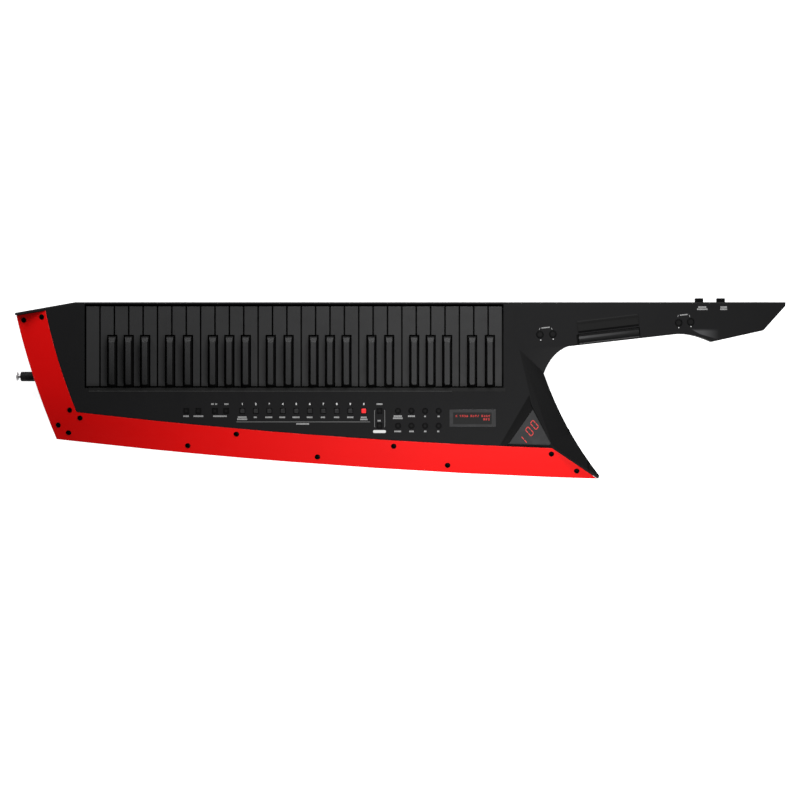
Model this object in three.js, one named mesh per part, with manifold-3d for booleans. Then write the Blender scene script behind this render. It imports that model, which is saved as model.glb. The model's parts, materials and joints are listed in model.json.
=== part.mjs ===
// A shoulder keyboard: 49 sprung keys in a hollow two-shell case, with a red cover along its end
// and its lower edge, a control panel, and a neck that carries the left hand's controls.
// It lies on its back. +X runs towards the head of the neck, +Y towards the playing ends of the
// keys, and +Z out of the control panel. Sizes are in millimetres.
import * as THREE from "three";
import { mergeVertices } from "three/addons/utils/BufferGeometryUtils.js";
import Module from "manifold-3d";

const wasm = await Module();
wasm.setup();

// Keyboard
const WHITE_KEYS = 29;
const KEY_PITCH = 23.5;
const KEY_GAP = 1.8;
const KEYBOARD_CLEARANCE = 1.6;
const WHITE_SINK = 2;
const BLACK_RISE = 11.5;
const BLACK_BASE_WIDTH = 13.2;
const BLACK_TOP_WIDTH = 8.4;
const BLACK_FRONT_SLOPE = 9.6;
const BLACK_NOSE_SLOPE = 3;
const BLACK_NOSE_RISE = 6;
const BLACK_REAR_SLOPE = 1.6;
const BLACK_CORNER = 2.8;
const BLACK_GAP = 1.8;
const BLACK_TAIL_WIDTH = 9;
const PAIR_SPREAD = 2.8;
const TRIO_SPREAD = 3.4;
const KEY_LIP_GAP = 6.9;
const KEY_REAR_GAP = 1.6;
const KEY_EDGE_ROUND = 1.2;
const KEY_SKIRT = 18;
const KEY_WALL = 2;
const KEY_ROOF = 3;
const KEY_TAIL_DROP = 5.5;
const KEY_TAIL_LENGTH = 8;
const PIVOT_SINK = 16;
const PIVOT_SETBACK = 26;
const PIVOT_RADIUS = 3;
const PIVOT_CLEARANCE = 0.5;
const BED_SINK = 31;
const BED_THICKNESS = 3;
const GUIDE_WIDTH = 5;
const GUIDE_LENGTH = 7;
const GUIDE_HEIGHT = 13;
const GUIDE_SETBACK = 14;

// Plan of the case
const END_LENGTH = 113.9;
const SHOULDER_LENGTH = 102.1;
const NECK_LENGTH = 359.3;
const LIP_WALL = 3.2;
const OPENING_DEPTH = 137.3;
const PANEL_DEPTH = 148.75;
const NECK_DEPTH = 72.4;

// Heights and walls of the case
const REAR_DEPTH = 42;
const FRONT_DEPTH = 28;
const SEAM_GAP = 0.3;
const ROOF_WALL = 3;
const SIDE_WALL = 2.6;
const FLOOR_WALL = 3;
const EDGE_BEVEL = 2.2;
const PARTING_INSET = 0.5;
const REAR_SHOULDER_Z = 13;
const REAR_SHOULDER_INSET = 4;
const REAR_FLOOR_INSET = 13;
const NECK_REAR_DEPTH = 11;
const NECK_BACK_INSET = 9;
const NECK_BACK_ROUND = 5;
const NECK_BACK_ROUND_INSET = 3;
const HEEL_LENGTH = 92;
const HORN_FACET_DROP = 14;
const HEAD_SCOOP_DROP = 5;
const KEY_RIM_WIDTH = 5;
const KEY_RIM_DROP = 1.4;
const BOSS_RADIUS = 4;
const BOSS_SIDES = 8;

// Back of the case
const SCREW_WELL_RADIUS = 4.2;
const SCREW_WELL_DEPTH = 1.4;
const DOOR_LENGTH = 150;
const DOOR_WIDTH = 66;
const DOOR_GROOVE_WIDTH = 0.8;
const DOOR_GROOVE_DEPTH = 1;
const DOOR_NOTCH_RADIUS = 9;
const DOOR_NOTCH_DEPTH = 1.4;

// Red cover
const COVER_WALL = 3;
const COVER_SINK = 0.4;
const COVER_SKIRT = 8;
const COVER_FIT = 0.4;

// Light window
const WINDOW_THICKNESS = 2.4;
const WINDOW_DEPTH = 2;
const WINDOW_FIT = 0.3;

// Display recess
const DISPLAY_WIDTH = 76;
const DISPLAY_HEIGHT = 28.6;
const DISPLAY_RECESS = 0.9;

// Panel buttons
const BUTTON_FIT = 0.35;
const SQUARE_CAP = 8.4;
const ROUND_CAP_RADIUS = 4.6;
const ROUND_SIDES = 16;
const CAP_RISE = 1;
const MAT_THICKNESS = 1.4;
const MAT_BORDER = 4;

// Hand buttons on the neck front
const HAND_CAP_RADIUS = 5.8;
const HAND_CAP_RISE = 1.6;
const HAND_FLANGE = 2.4;

// Thumb buttons on the top edge
const THUMB_WIDTH = 13.6;
const THUMB_HEIGHT = 11;
const THUMB_RISE = 6.7;
const THUMB_SINK = 14.5;
const THUMB_FLANGE = 3;
const THUMB_FIT = 0.4;

// Modulation bar
const BAR_LENGTH = 99;
const BAR_WIDTH = 15.5;
const BAR_HEIGHT = 14;
const BAR_RISE = 1.4;
const BAR_END_GAP = 1.4;
const BAR_SIDE_GAP = 0.8;
const BAR_FLOOR_GAP = 3.2;
const BAR_WALL = 2.6;
const BAR_PIN_RADIUS = 2;
const BAR_PIN_REACH = 2.2;
const BAR_PIN_FIT = 0.35;
const BAR_PIN_INSET = 3.4;
const BAR_PIN_DEPTH = 10;
const BAR_TILT_DEGREES = 6.8;

// Ribbon
const RIBBON_LENGTH = 100;
const RIBBON_WIDTH = 17.6;
const RIBBON_RECESS = 0.8;

// Strap pins
const PIN_COLLAR_RADIUS = 8;
const PIN_COLLAR_LENGTH = 24.4;
const PIN_COLLAR_ROUND = 2;
const PIN_NECK_RADIUS = 3.4;
const PIN_NECK_LENGTH = 3;
const PIN_HEAD_RADIUS = 8;
const PIN_HEAD_THICKNESS = 4.4;
const PIN_SEAT_DEPTH = 9;
const PIN_SEAT_WALL = 3;
const PIN_FIT = 0.3;
const PIN_AXIS_Z = 24;
const REAR_PIN_LENGTH = 13;
const ROUND_SEGMENTS = 24;

const OVERRUN = 4;

// Colours
const CASE_BLACK = 0x1c1c1d;
const KEY_BLACK = 0x2c2c2d;
const COVER_RED = 0xe01818;
const SMOKED = 0x303031;
const RUBBER_BLACK = 0x161616;
const STEEL = 0xb8b8ba;

const KEYBOARD_LENGTH = WHITE_KEYS * KEY_PITCH + 2 * KEYBOARD_CLEARANCE;
const SHOULDER_X = KEYBOARD_LENGTH;
const NECK_X = SHOULDER_X + SHOULDER_LENGTH;
const OPENING_REAR_Y = -LIP_WALL - OPENING_DEPTH;
const LOWEST_Y = OPENING_REAR_Y - PANEL_DEPTH;
const SEAM_Z = REAR_DEPTH;
const PANEL_Z = REAR_DEPTH + FRONT_DEPTH;
const ROOF_Z = PANEL_Z - ROOF_WALL;
const NECK_BACK_Z = SEAM_Z - NECK_REAR_DEPTH;
const WHITE_TOP_Z = PANEL_Z - WHITE_SINK;
const PIVOT_Z = PANEL_Z - PIVOT_SINK;
const BED_Z = PANEL_Z - BED_SINK;
const GUIDE_TOP_Z = BED_Z + GUIDE_HEIGHT;
const COVER_INNER_Z = PANEL_Z - COVER_SINK;
const COVER_OUTER_Z = SEAM_Z + COVER_SKIRT;
const THUMB_Z = PANEL_Z - THUMB_SINK;
const PIVOT_Y = OPENING_REAR_Y - PIVOT_SETBACK;
const KEY_FRONT_Y = -KEY_LIP_GAP;

// Places on the plan, as shares of the zone that they belong to.
const endX = (share) => (share - 1) * END_LENGTH;
const keysX = (share) => share * KEYBOARD_LENGTH;
const shoulderX = (share) => SHOULDER_X + share * SHOULDER_LENGTH;
const neckX = (share) => NECK_X + share * NECK_LENGTH;
const openingY = (share) => -LIP_WALL - share * OPENING_DEPTH;
const panelY = (share) => OPENING_REAR_Y - share * PANEL_DEPTH;
const neckY = (share) => -share * NECK_DEPTH;

// Solids and booleans

function solidOf(geometry) {
  const bare = geometry.clone();
  bare.deleteAttribute("normal");
  bare.deleteAttribute("uv");
  const merged = mergeVertices(bare, 1e-4);
  return new wasm.Manifold(
    new wasm.Mesh({
      numProp: 3,
      vertProperties: new Float32Array(merged.attributes.position.array),
      triVerts: new Uint32Array(merged.index.array),
    }),
  );
}

function geometryOf(solid) {
  const { vertProperties, triVerts, numProp, numVert } = solid.getMesh();
  const position = new Float32Array(numVert * 3);
  for (let i = 0; i < numVert; i++) {
    position.set(vertProperties.subarray(i * numProp, i * numProp + 3), i * 3);
  }
  const indexed = new THREE.BufferGeometry();
  indexed.setAttribute("position", new THREE.BufferAttribute(position, 3));
  indexed.setIndex(new THREE.BufferAttribute(new Uint32Array(triVerts), 1));
  const faceted = indexed.toNonIndexed();
  faceted.computeVertexNormals();
  return faceted;
}

const unite = (solids) => solids.reduce((whole, piece) => whole.add(piece));

// A closed solid between two rings of as many points, each [x, y, z], both counter-clockwise
// seen from above.
function ruledSolid(rings) {
  const count = rings[0].length;
  const position = rings.flat().flat();
  const index = [];
  const flat = (ring) => ring.map(([x, y]) => new THREE.Vector2(x, y));
  for (const [a, b, c] of THREE.ShapeUtils.triangulateShape(flat(rings[0]), [])) {
    index.push(a, c, b);
  }
  const top = (rings.length - 1) * count;
  for (const [a, b, c] of THREE.ShapeUtils.triangulateShape(flat(rings.at(-1)), [])) {
    index.push(top + a, top + b, top + c);
  }
  for (let level = 0; level < rings.length - 1; level++) {
    for (let i = 0; i < count; i++) {
      const a = level * count + i;
      const b = level * count + ((i + 1) % count);
      index.push(a, b, b + count, a, b + count, a + count);
    }
  }
  const geometry = new THREE.BufferGeometry();
  geometry.setAttribute("position", new THREE.Float32BufferAttribute(position, 3));
  geometry.setIndex(index);
  return solidOf(geometry);
}

const atHeight = (points, z) => points.map(([x, y]) => [x, y, z]);

const prism = (points, zLow, zHigh) => ruledSolid([atHeight(points, zLow), atHeight(points, zHigh)]);

const rectangle = (x0, y0, x1, y1) => [
  [x0, y0],
  [x1, y0],
  [x1, y1],
  [x0, y1],
];

const block = (x0, y0, z0, x1, y1, z1) => prism(rectangle(x0, y0, x1, y1), z0, z1);

function circle(x, y, radius, sides) {
  const points = [];
  for (let i = 0; i < sides; i++) {
    const angle = (2 * Math.PI * (i + 0.5)) / sides;
    points.push([x + radius * Math.cos(angle), y + radius * Math.sin(angle)]);
  }
  return points;
}

// An outline in Y and Z, drawn counter-clockwise seen from +X, swept from one X to another.
function sideProfile(points, x0, x1) {
  const shape = new THREE.Shape(points.map(([y, z]) => new THREE.Vector2(y, z)));
  const geometry = new THREE.ExtrudeGeometry(shape, { depth: x1 - x0, bevelEnabled: false });
  geometry.applyMatrix4(
    new THREE.Matrix4().makeBasis(
      new THREE.Vector3(0, 1, 0),
      new THREE.Vector3(0, 0, 1),
      new THREE.Vector3(1, 0, 0),
    ),
  );
  geometry.translate(x0, 0, 0);
  return solidOf(geometry);
}

// The outline moved inwards, by one distance or by one for each edge.
function inset(points, distances) {
  const count = points.length;
  const distanceOf = (i) => (Array.isArray(distances) ? distances[i] : distances);
  const lines = points.map(([x, y], i) => {
    const [nextX, nextY] = points[(i + 1) % count];
    const length = Math.hypot(nextX - x, nextY - y);
    const direction = [(nextX - x) / length, (nextY - y) / length];
    const shift = distanceOf(i);
    return { at: [x - direction[1] * shift, y + direction[0] * shift], direction };
  });
  return lines.map((line, i) => {
    const before = lines[(i + count - 1) % count];
    const cross = before.direction[0] * line.direction[1] - before.direction[1] * line.direction[0];
    if (Math.abs(cross) < 1e-3) {
      return line.at;
    }
    const gapX = line.at[0] - before.at[0];
    const gapY = line.at[1] - before.at[1];
    const along = (gapX * line.direction[1] - gapY * line.direction[0]) / cross;
    return [
      before.at[0] + before.direction[0] * along,
      before.at[1] + before.direction[1] * along,
    ];
  });
}

// Points on a curve with one control point, without its last point.
function curve(start, control, end, steps) {
  const line = new THREE.QuadraticBezierCurve(
    new THREE.Vector2(...start),
    new THREE.Vector2(...control),
    new THREE.Vector2(...end),
  );
  return line
    .getPoints(steps)
    .slice(0, steps)
    .map(({ x, y }) => [x, y]);
}

const between = (a, b, share) => [a[0] + (b[0] - a[0]) * share, a[1] + (b[1] - a[1]) * share];

// Corners of the plan

const endCorner = [endX(0), openingY(0.1037)];
const endBreak = [endX(0.8637), 0];
const lowerCorner = [endX(0.5792), panelY(0.5636)];
const endControl = [endX(0.1991), openingY(0.857)];
const lowerControl = [keysX(0.581), panelY(0.909)];
const hornToe = [shoulderX(1.5166), panelY(1)];
const hornTip = [shoulderX(1.5475), panelY(0.967)];
const hornControl = [shoulderX(0.9721), panelY(0.4678)];
const hornRoot = [shoulderX(0.6499), neckY(1.611)];
const notchControl = [shoulderX(0.7735), neckY(1.1264)];
const notchEnd = [neckX(0.0122), neckY(0.9959)];
const scoopStart = [neckX(0.4958), neckY(0.7241)];
const scoopControl = [neckX(0.5656), neckY(0.6768)];
const headBelly = [neckX(0.6633), neckY(0.8976)];
const headHeel = [neckX(0.898), neckY(0.6395)];
const headCorner = [neckX(0.9985), neckY(0.0889)];
const headTip = [neckX(1), neckY(0)];

const coverEndOuter = [endX(-0.0021), openingY(0.1343)];
const coverEndInner = [endX(0.4404), openingY(0.0789)];
const coverEndControl = [endX(0.5911), openingY(0.6845)];
const coverInnerCorner = [endX(0.8852), panelY(0.2637)];
const coverLowerControl = [keysX(0.5477), panelY(0.5669)];
const coverHornInner = [shoulderX(0.776), panelY(0.6593)];

const END_STEPS = 8;
const LOWER_STEPS = 12;
const HORN_STEPS = 8;
const NOTCH_STEPS = 8;
const SCOOP_STEPS = 8;

// The free side of the plan, from the horn's tip round the neck to the case's far end.
const neckSide = [
  ...curve(hornTip, hornControl, hornRoot, HORN_STEPS),
  ...curve(hornRoot, notchControl, notchEnd, NOTCH_STEPS),
  notchEnd,
  ...curve(scoopStart, scoopControl, headBelly, SCOOP_STEPS),
  headBelly,
  headHeel,
  headCorner,
  headTip,
  endBreak,
];

const caseOutline = [
  ...curve(endCorner, endControl, lowerCorner, END_STEPS),
  ...curve(lowerCorner, lowerControl, hornToe, LOWER_STEPS),
  hornToe,
  ...neckSide,
];

// The rear shell's plan has no blunt tips.
const rearOutline = caseOutline.filter((point) => point !== hornToe && point !== headCorner);

const coverEdge = [
  coverEndOuter,
  ...curve(coverEndInner, coverEndControl, coverInnerCorner, END_STEPS),
  ...curve(coverInnerCorner, coverLowerControl, coverHornInner, LOWER_STEPS),
  coverHornInner,
];
const frontOutline = [endCorner, ...coverEdge, hornToe, ...neckSide];

// The same without its two slim ends, which stay solid.
const hollowOutline = [...coverEdge.slice(1), ...neckSide.slice(1)];

// Red cover and the ledge under it: one section carried along the end and the lower edge.
// Each station joins a point of the case's outline to a point of the cover's inner edge.
const coverStations = [
  ...curve(coverEndOuter, endControl, lowerCorner, END_STEPS).map((outer, i) => [
    outer,
    curve(coverEndInner, coverEndControl, coverInnerCorner, END_STEPS)[i],
  ]),
  ...curve(lowerCorner, lowerControl, hornToe, LOWER_STEPS).map((outer, i) => [
    outer,
    curve(coverInnerCorner, coverLowerControl, coverHornInner, LOWER_STEPS)[i],
  ]),
  [hornToe, coverHornInner],
];

// The section's points are [distance in from the outer edge, or out from the inner one, height].
function coverSweep(section) {
  const count = section.length;
  const position = coverStations.flatMap(([outer, inner]) => {
    const across = Math.hypot(inner[0] - outer[0], inner[1] - outer[1]);
    return section.flatMap(({ fromOuter, fromInner, z }) => {
      const share = fromOuter === undefined ? 1 - fromInner / across : fromOuter / across;
      return [...between(outer, inner, share), z];
    });
  });
  const index = [];
  const outline = section.map(({ fromOuter, fromInner, z }) => {
    return new THREE.Vector2(fromOuter === undefined ? END_LENGTH - fromInner : fromOuter, z);
  });
  const caps = THREE.ShapeUtils.triangulateShape(outline, []);
  const last = (coverStations.length - 1) * count;
  for (const [a, b, c] of caps) {
    index.push(a, c, b, last + a, last + b, last + c);
  }
  for (let station = 0; station < coverStations.length - 1; station++) {
    for (let i = 0; i < count; i++) {
      const a = station * count + i;
      const b = station * count + ((i + 1) % count);
      index.push(a, b, b + count, a, b + count, a + count);
    }
  }
  const geometry = new THREE.BufferGeometry();
  geometry.setAttribute("position", new THREE.Float32BufferAttribute(position, 3));
  geometry.setIndex(index);
  return solidOf(geometry);
}

const COVER_FOOT_Z = SEAM_Z + SEAM_GAP;
const LEDGE_INNER_Z = COVER_INNER_Z - COVER_WALL - COVER_FIT;
const LEDGE_OUTER_Z = COVER_OUTER_Z - COVER_WALL - COVER_FIT;
const LEDGE_INSET = COVER_WALL + COVER_FIT;

function edgeCover() {
  return coverSweep([
    { fromOuter: 0, z: COVER_FOOT_Z },
    { fromOuter: COVER_WALL, z: COVER_FOOT_Z },
    { fromOuter: COVER_WALL, z: COVER_OUTER_Z - COVER_WALL },
    { fromInner: 0, z: COVER_INNER_Z - COVER_WALL },
    { fromInner: 0, z: COVER_INNER_Z },
    { fromOuter: 0, z: COVER_OUTER_Z },
  ]);
}

function ledge(thickness, reach, zLow) {
  return coverSweep([
    { fromOuter: LEDGE_INSET + thickness, z: zLow },
    { fromInner: -reach, z: zLow },
    { fromInner: -reach, z: LEDGE_INNER_Z - thickness },
    { fromOuter: LEDGE_INSET + thickness, z: LEDGE_OUTER_Z - thickness },
  ]);
}

// Places of the controls

const BUTTON_ROW_Y = panelY(0.2505);
const LOWER_ROW_Y = panelY(0.4143);
const toneColumns = [];
const TONE_COLUMNS = 10;
const TONE_FIRST_SHARE = 0.3766;
const TONE_PITCH = 22.05;
for (let i = 0; i < TONE_COLUMNS; i++) {
  toneColumns.push(keysX(TONE_FIRST_SHARE) + i * TONE_PITCH);
}
const modeColumnShares = [0.243, 0.2718, 0.3112, 0.338];
const squareButtons = [
  ...modeColumnShares.map((share) => [keysX(share), BUTTON_ROW_Y]),
  ...toneColumns.map((x) => [x, BUTTON_ROW_Y]),
  [keysX(0.704), BUTTON_ROW_Y],
  [keysX(0.704), LOWER_ROW_Y],
];
const roundColumnShares = [0.7482, 0.7802, 0.8129, 0.8451];
const roundButtons = roundColumnShares.flatMap((share) => [
  [keysX(share), BUTTON_ROW_Y],
  [keysX(share), LOWER_ROW_Y],
]);
const octavePlaces = [
  [shoulderX(0.5824), neckY(0.7316)],
  [shoulderX(0.7888), neckY(0.7227)],
];
const patchPlaces = [
  [neckX(0.5125), neckY(0.4676)],
  [neckX(0.567), neckY(0.4473)],
];
const thumbPlaces = [neckX(0.6083), neckX(0.7069)];

// Modulation bar's own frame: u along the bar, v across it towards the palm.
const barTilt = THREE.MathUtils.degToRad(BAR_TILT_DEGREES);
const barStart = [neckX(0.0568), neckY(0.7361)];

function onBar(u, v) {
  return [
    barStart[0] + u * Math.cos(barTilt) + v * Math.sin(barTilt),
    barStart[1] + u * Math.sin(barTilt) - v * Math.cos(barTilt),
  ];
}

const barRectangle = (u0, v0, u1, v1) => [
  onBar(u0, v1),
  onBar(u1, v1),
  onBar(u1, v0),
  onBar(u0, v0),
];

const BAR_PIN_Z = PANEL_Z - BAR_PIN_DEPTH;

// A round rod along the bar's hinge line.
function barPin(radius, u0, u1) {
  const rod = new THREE.CylinderGeometry(radius, radius, u1 - u0, ROUND_SIDES);
  rod.rotateZ(Math.PI / 2);
  rod.rotateZ(barTilt);
  const [x, y] = onBar((u0 + u1) / 2, BAR_PIN_INSET);
  rod.translate(x, y, BAR_PIN_Z);
  return solidOf(rod);
}

// Window of the lights

const windowTop = [shoulderX(0.4688), panelY(0.2363)];
const windowLeft = [shoulderX(0.0736), panelY(0.623)];
const windowRight = [shoulderX(0.7648), panelY(0.6153)];
const windowCut = [shoulderX(0.696), panelY(0.6428)];
const windowOutline = [windowLeft, windowCut, windowRight, windowTop];
const windowFacet = [shoulderX(0.392), panelY(0.1099)];
const windowFacetFoot = [shoulderX(-0.06), panelY(0.6329)];

// Facet of the horn

const facetApex = [shoulderX(0.2592), neckY(1.0519)];
const facetMid = [shoulderX(0.4704), panelY(0.2197)];
const facetFoot = [shoulderX(0.776), panelY(0.6263)];
const HORN_WAIST_SHARE = 0.9;
const HORN_BULGE_SHARE = 0.72;
const scoopCrestControl = [neckX(0.5766), neckY(0.5512)];

// Front case

function hornFacets() {
  const low = PANEL_Z - HORN_FACET_DROP;
  const high = PANEL_Z + OVERRUN;
  const waist = between(hornRoot, hornControl, HORN_WAIST_SHARE);
  const bulge = between(hornRoot, hornTip, HORN_BULGE_SHARE);
  const beyond = [
    [hornRoot[0] + OVERRUN, hornRoot[1]],
    [waist[0] + 3 * OVERRUN, hornControl[1]],
    [hornTip[0] + 2 * OVERRUN, bulge[1]],
    [hornTip[0] + OVERRUN, hornTip[1] - OVERRUN],
  ];
  const crest = [facetApex, facetMid, facetFoot, [hornToe[0], hornToe[1] - OVERRUN]];
  const ring = [...[...beyond].reverse(), ...crest];
  const bottom = ring.map(([x, y], i) => [x, y, i < beyond.length ? low : PANEL_Z]);
  const fan = [
    [...hornRoot, low],
    [...notchEnd, PANEL_Z],
    [...facetApex, PANEL_Z],
  ];
  const lift = (points) => points.map(([x, y]) => [x, y, high]);
  return [bottom, fan].map((points) => {
    const turned = THREE.ShapeUtils.area(points.map(([x, y]) => new THREE.Vector2(x, y))) < 0;
    const ordered = turned ? [...points].reverse() : points;
    return ruledSolid([ordered, lift(ordered)]);
  });
}

// The shallow scoop in the head, along the lower edge of the neck.
function headScoop() {
  const crest = [...curve(scoopStart, scoopCrestControl, headBelly, SCOOP_STEPS), headBelly];
  const edge = [...curve(scoopStart, scoopControl, headBelly, SCOOP_STEPS), headBelly];
  const beyond = edge.map(([x, y]) => [x, y - OVERRUN]);
  const ring = [...beyond, ...crest.reverse()];
  const floor = ring.map(([x, y], i) => [x, y, i < beyond.length ? PANEL_Z - HEAD_SCOOP_DROP : PANEL_Z]);
  return ruledSolid([floor, atHeight(ring, PANEL_Z + OVERRUN)]);
}

function windowSeat() {
  const floor = PANEL_Z - WINDOW_DEPTH - WINDOW_THICKNESS;
  const seat = prism(inset(windowOutline, -WINDOW_FIT), floor, PANEL_Z + OVERRUN);
  const bottom = [windowLeft, windowCut, windowRight, windowTop];
  const wide = [windowFacetFoot, windowCut, windowRight, windowFacet];
  const slope = ruledSolid([
    atHeight(bottom, PANEL_Z - WINDOW_DEPTH),
    atHeight(wide, PANEL_Z + SEAM_GAP),
  ]);
  return seat.add(slope);
}

function barPocket(extra) {
  const floor = PANEL_Z + BAR_RISE - BAR_HEIGHT - BAR_FLOOR_GAP - extra;
  return prism(
    barRectangle(
      -BAR_END_GAP - extra,
      -BAR_SIDE_GAP - extra,
      BAR_LENGTH + BAR_END_GAP + extra,
      BAR_WIDTH + 2 * OVERRUN,
    ),
    floor,
    PANEL_Z + OVERRUN,
  );
}

function frontCase() {
  const low = SEAM_Z + SEAM_GAP;
  const coverEdges = coverEdge.length;
  const isCoverEdge = (i) => i >= 1 && i <= coverEdges;
  const wallInsets = frontOutline.map((_, i) => (isCoverEdge(i) ? COVER_FIT : 0));
  const topInsets = frontOutline.map((_, i) => (isCoverEdge(i) ? COVER_FIT : EDGE_BEVEL));
  const wall = inset(frontOutline, wallInsets);
  const top = inset(frontOutline, topInsets);
  let body = ruledSolid([
    atHeight(wall, low),
    atHeight(wall, PANEL_Z - EDGE_BEVEL),
    atHeight(top, PANEL_Z),
  ]);
  body = body.add(ledge(0, COVER_WALL, low));
  let hollow = prism(inset(hollowOutline, SIDE_WALL + COVER_FIT), low - OVERRUN, ROOF_Z);
  hollow = hollow.add(ledge(SIDE_WALL, 2 * COVER_WALL, low - OVERRUN));
  const keyWell = block(0, OPENING_REAR_Y, 0, KEYBOARD_LENGTH, -LIP_WALL, PANEL_Z + OVERRUN);
  hollow = hollow.subtract(barPocket(BAR_WALL)).subtract(facetsBelow());
  body = body.subtract(hollow).subtract(keyWell);
  for (const facet of [...hornFacets(), headScoop()]) {
    body = body.subtract(facet);
  }
  const frame = windowFrame().intersect(prism(wall, low, PANEL_Z));
  body = body.add(frame).subtract(windowSeat());
  body = body.subtract(keyRim());
  body = body.subtract(barPocket(0));
  body = body.subtract(
    barPin(
      BAR_PIN_RADIUS + BAR_PIN_FIT,
      -BAR_END_GAP - BAR_PIN_REACH,
      BAR_LENGTH + BAR_END_GAP + BAR_PIN_REACH,
    ),
  );
  const ribbon = barRectangle(0, -RIBBON_WIDTH - BAR_WALL, RIBBON_LENGTH, -BAR_WALL);
  body = body.subtract(prism(ribbon, PANEL_Z - RIBBON_RECESS, PANEL_Z + OVERRUN));
  body = body.subtract(displayRecess());
  return body.subtract(unite(controlHoles()));
}

// Room that the hollow leaves under the facets, so that the roof keeps its wall there.
function facetsBelow() {
  return unite([...hornFacets(), headScoop()]).translate([0, 0, -ROOF_WALL]);
}

// The solid frame under the window of the lights.
function windowFrame() {
  const floor = PANEL_Z - WINDOW_DEPTH - WINDOW_THICKNESS;
  return prism(inset(windowOutline, -SIDE_WALL), floor - ROOF_WALL, floor + WINDOW_THICKNESS);
}

// A sloped rim along the panel's edge behind the keys.
function keyRim() {
  return sideProfile(
    [
      [OPENING_REAR_Y - KEY_RIM_WIDTH, PANEL_Z],
      [OPENING_REAR_Y + OVERRUN, PANEL_Z - KEY_RIM_DROP],
      [OPENING_REAR_Y + OVERRUN, PANEL_Z + OVERRUN],
      [OPENING_REAR_Y - KEY_RIM_WIDTH, PANEL_Z + OVERRUN],
    ],
    0,
    KEYBOARD_LENGTH,
  );
}

const displayCentre = [keysX(0.9267), panelY(0.3296)];

function displayRecess() {
  const [x, y] = displayCentre;
  return block(
    x - DISPLAY_WIDTH / 2,
    y - DISPLAY_HEIGHT / 2,
    PANEL_Z - DISPLAY_RECESS,
    x + DISPLAY_WIDTH / 2,
    y + DISPLAY_HEIGHT / 2,
    PANEL_Z + OVERRUN,
  );
}

const squareAt = ([x, y], half) => rectangle(x - half, y - half, x + half, y + half);

function controlHoles() {
  const low = ROOF_Z - OVERRUN / 2;
  const high = PANEL_Z + OVERRUN;
  const roundHole = (places, radius) => {
    return places.map(([x, y]) => prism(circle(x, y, radius + BUTTON_FIT, ROUND_SIDES), low, high));
  };
  return [
    ...squareButtons.map((place) => prism(squareAt(place, SQUARE_CAP / 2 + BUTTON_FIT), low, high)),
    ...roundHole(roundButtons, ROUND_CAP_RADIUS),
    ...roundHole([...octavePlaces, ...patchPlaces], HAND_CAP_RADIUS),
    ...thumbPlaces.map((x) =>
      block(
        x - THUMB_WIDTH / 2 - THUMB_FIT,
        -SIDE_WALL - OVERRUN / 2,
        THUMB_Z - THUMB_HEIGHT / 2 - THUMB_FIT,
        x + THUMB_WIDTH / 2 + THUMB_FIT,
        OVERRUN,
        THUMB_Z + THUMB_HEIGHT / 2 + THUMB_FIT,
      ),
    ),
  ];
}

// Rear case

// Everything behind the neck's back and the heel's slope.
function behindNeck(shift) {
  const start = NECK_X - HEEL_LENGTH;
  const far = NECK_X + NECK_LENGTH + OVERRUN;
  const near = LOWEST_Y - OVERRUN;
  const wedge = ruledSolid([
    [
      [start, near, -OVERRUN],
      [NECK_X, near, -OVERRUN],
      [NECK_X, OVERRUN, -OVERRUN],
      [start, OVERRUN, -OVERRUN],
    ],
    [
      [start, near, shift],
      [NECK_X, near, NECK_BACK_Z + shift],
      [NECK_X, OVERRUN, NECK_BACK_Z + shift],
      [start, OVERRUN, shift],
    ],
  ]);
  return wedge.add(block(NECK_X - SEAM_GAP, near, -OVERRUN, far, OVERRUN, NECK_BACK_Z + shift));
}

function rearCase() {
  const rim = inset(rearOutline, PARTING_INSET);
  const shoulder = inset(rearOutline, REAR_SHOULDER_INSET);
  const floor = inset(rearOutline, REAR_FLOOR_INSET);
  let body = ruledSolid([
    atHeight(floor, 0),
    atHeight(shoulder, REAR_SHOULDER_Z),
    atHeight(rim, SEAM_Z),
  ]);
  body = body.subtract(behindNeck(0)).subtract(neckRoom(NECK_X).subtract(neckForm(0, 0)));
  const hollow = ruledSolid([
    atHeight(inset(rearOutline, REAR_FLOOR_INSET + SIDE_WALL), FLOOR_WALL),
    atHeight(inset(rearOutline, REAR_SHOULDER_INSET + SIDE_WALL), REAR_SHOULDER_Z),
    atHeight(inset(rearOutline, PARTING_INSET + SIDE_WALL), SEAM_Z + OVERRUN),
  ]).subtract(behindNeck(FLOOR_WALL));
  const neckWall = NECK_X - SIDE_WALL;
  const neckHollow = neckForm(SIDE_WALL, FLOOR_WALL).intersect(neckRoom(neckWall - OVERRUN));
  body = body.subtract(hollow.subtract(neckRoom(neckWall))).subtract(neckHollow);
  body = body.add(unite(bosses().map((boss) => boss.intersect(solidEnvelope()))));
  body = body.add(pinSocket()).subtract(pinBore());
  body = body.subtract(doorLine()).subtract(unite(screwWells()));
  return body.add(rearPin());
}

// The neck's back with its rounded edges, or the hollow in it, drawn in by its walls.
function neckForm(wall, floorWall) {
  const back = floorWall === 0 ? NECK_BACK_INSET : NECK_BACK_INSET + floorWall / 2;
  const rim = inset(rearOutline, PARTING_INSET + wall);
  return ruledSolid([
    atHeight(inset(rearOutline, back), NECK_BACK_Z + floorWall),
    atHeight(inset(rearOutline, NECK_BACK_ROUND_INSET + wall), NECK_BACK_Z + NECK_BACK_ROUND),
    atHeight(rim, SEAM_Z),
    atHeight(rim, SEAM_Z + OVERRUN),
  ]);
}

function neckRoom(start) {
  const far = NECK_X + NECK_LENGTH + OVERRUN;
  return block(start, LOWEST_Y - OVERRUN, -OVERRUN, far, OVERRUN, SEAM_Z + OVERRUN);
}

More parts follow.
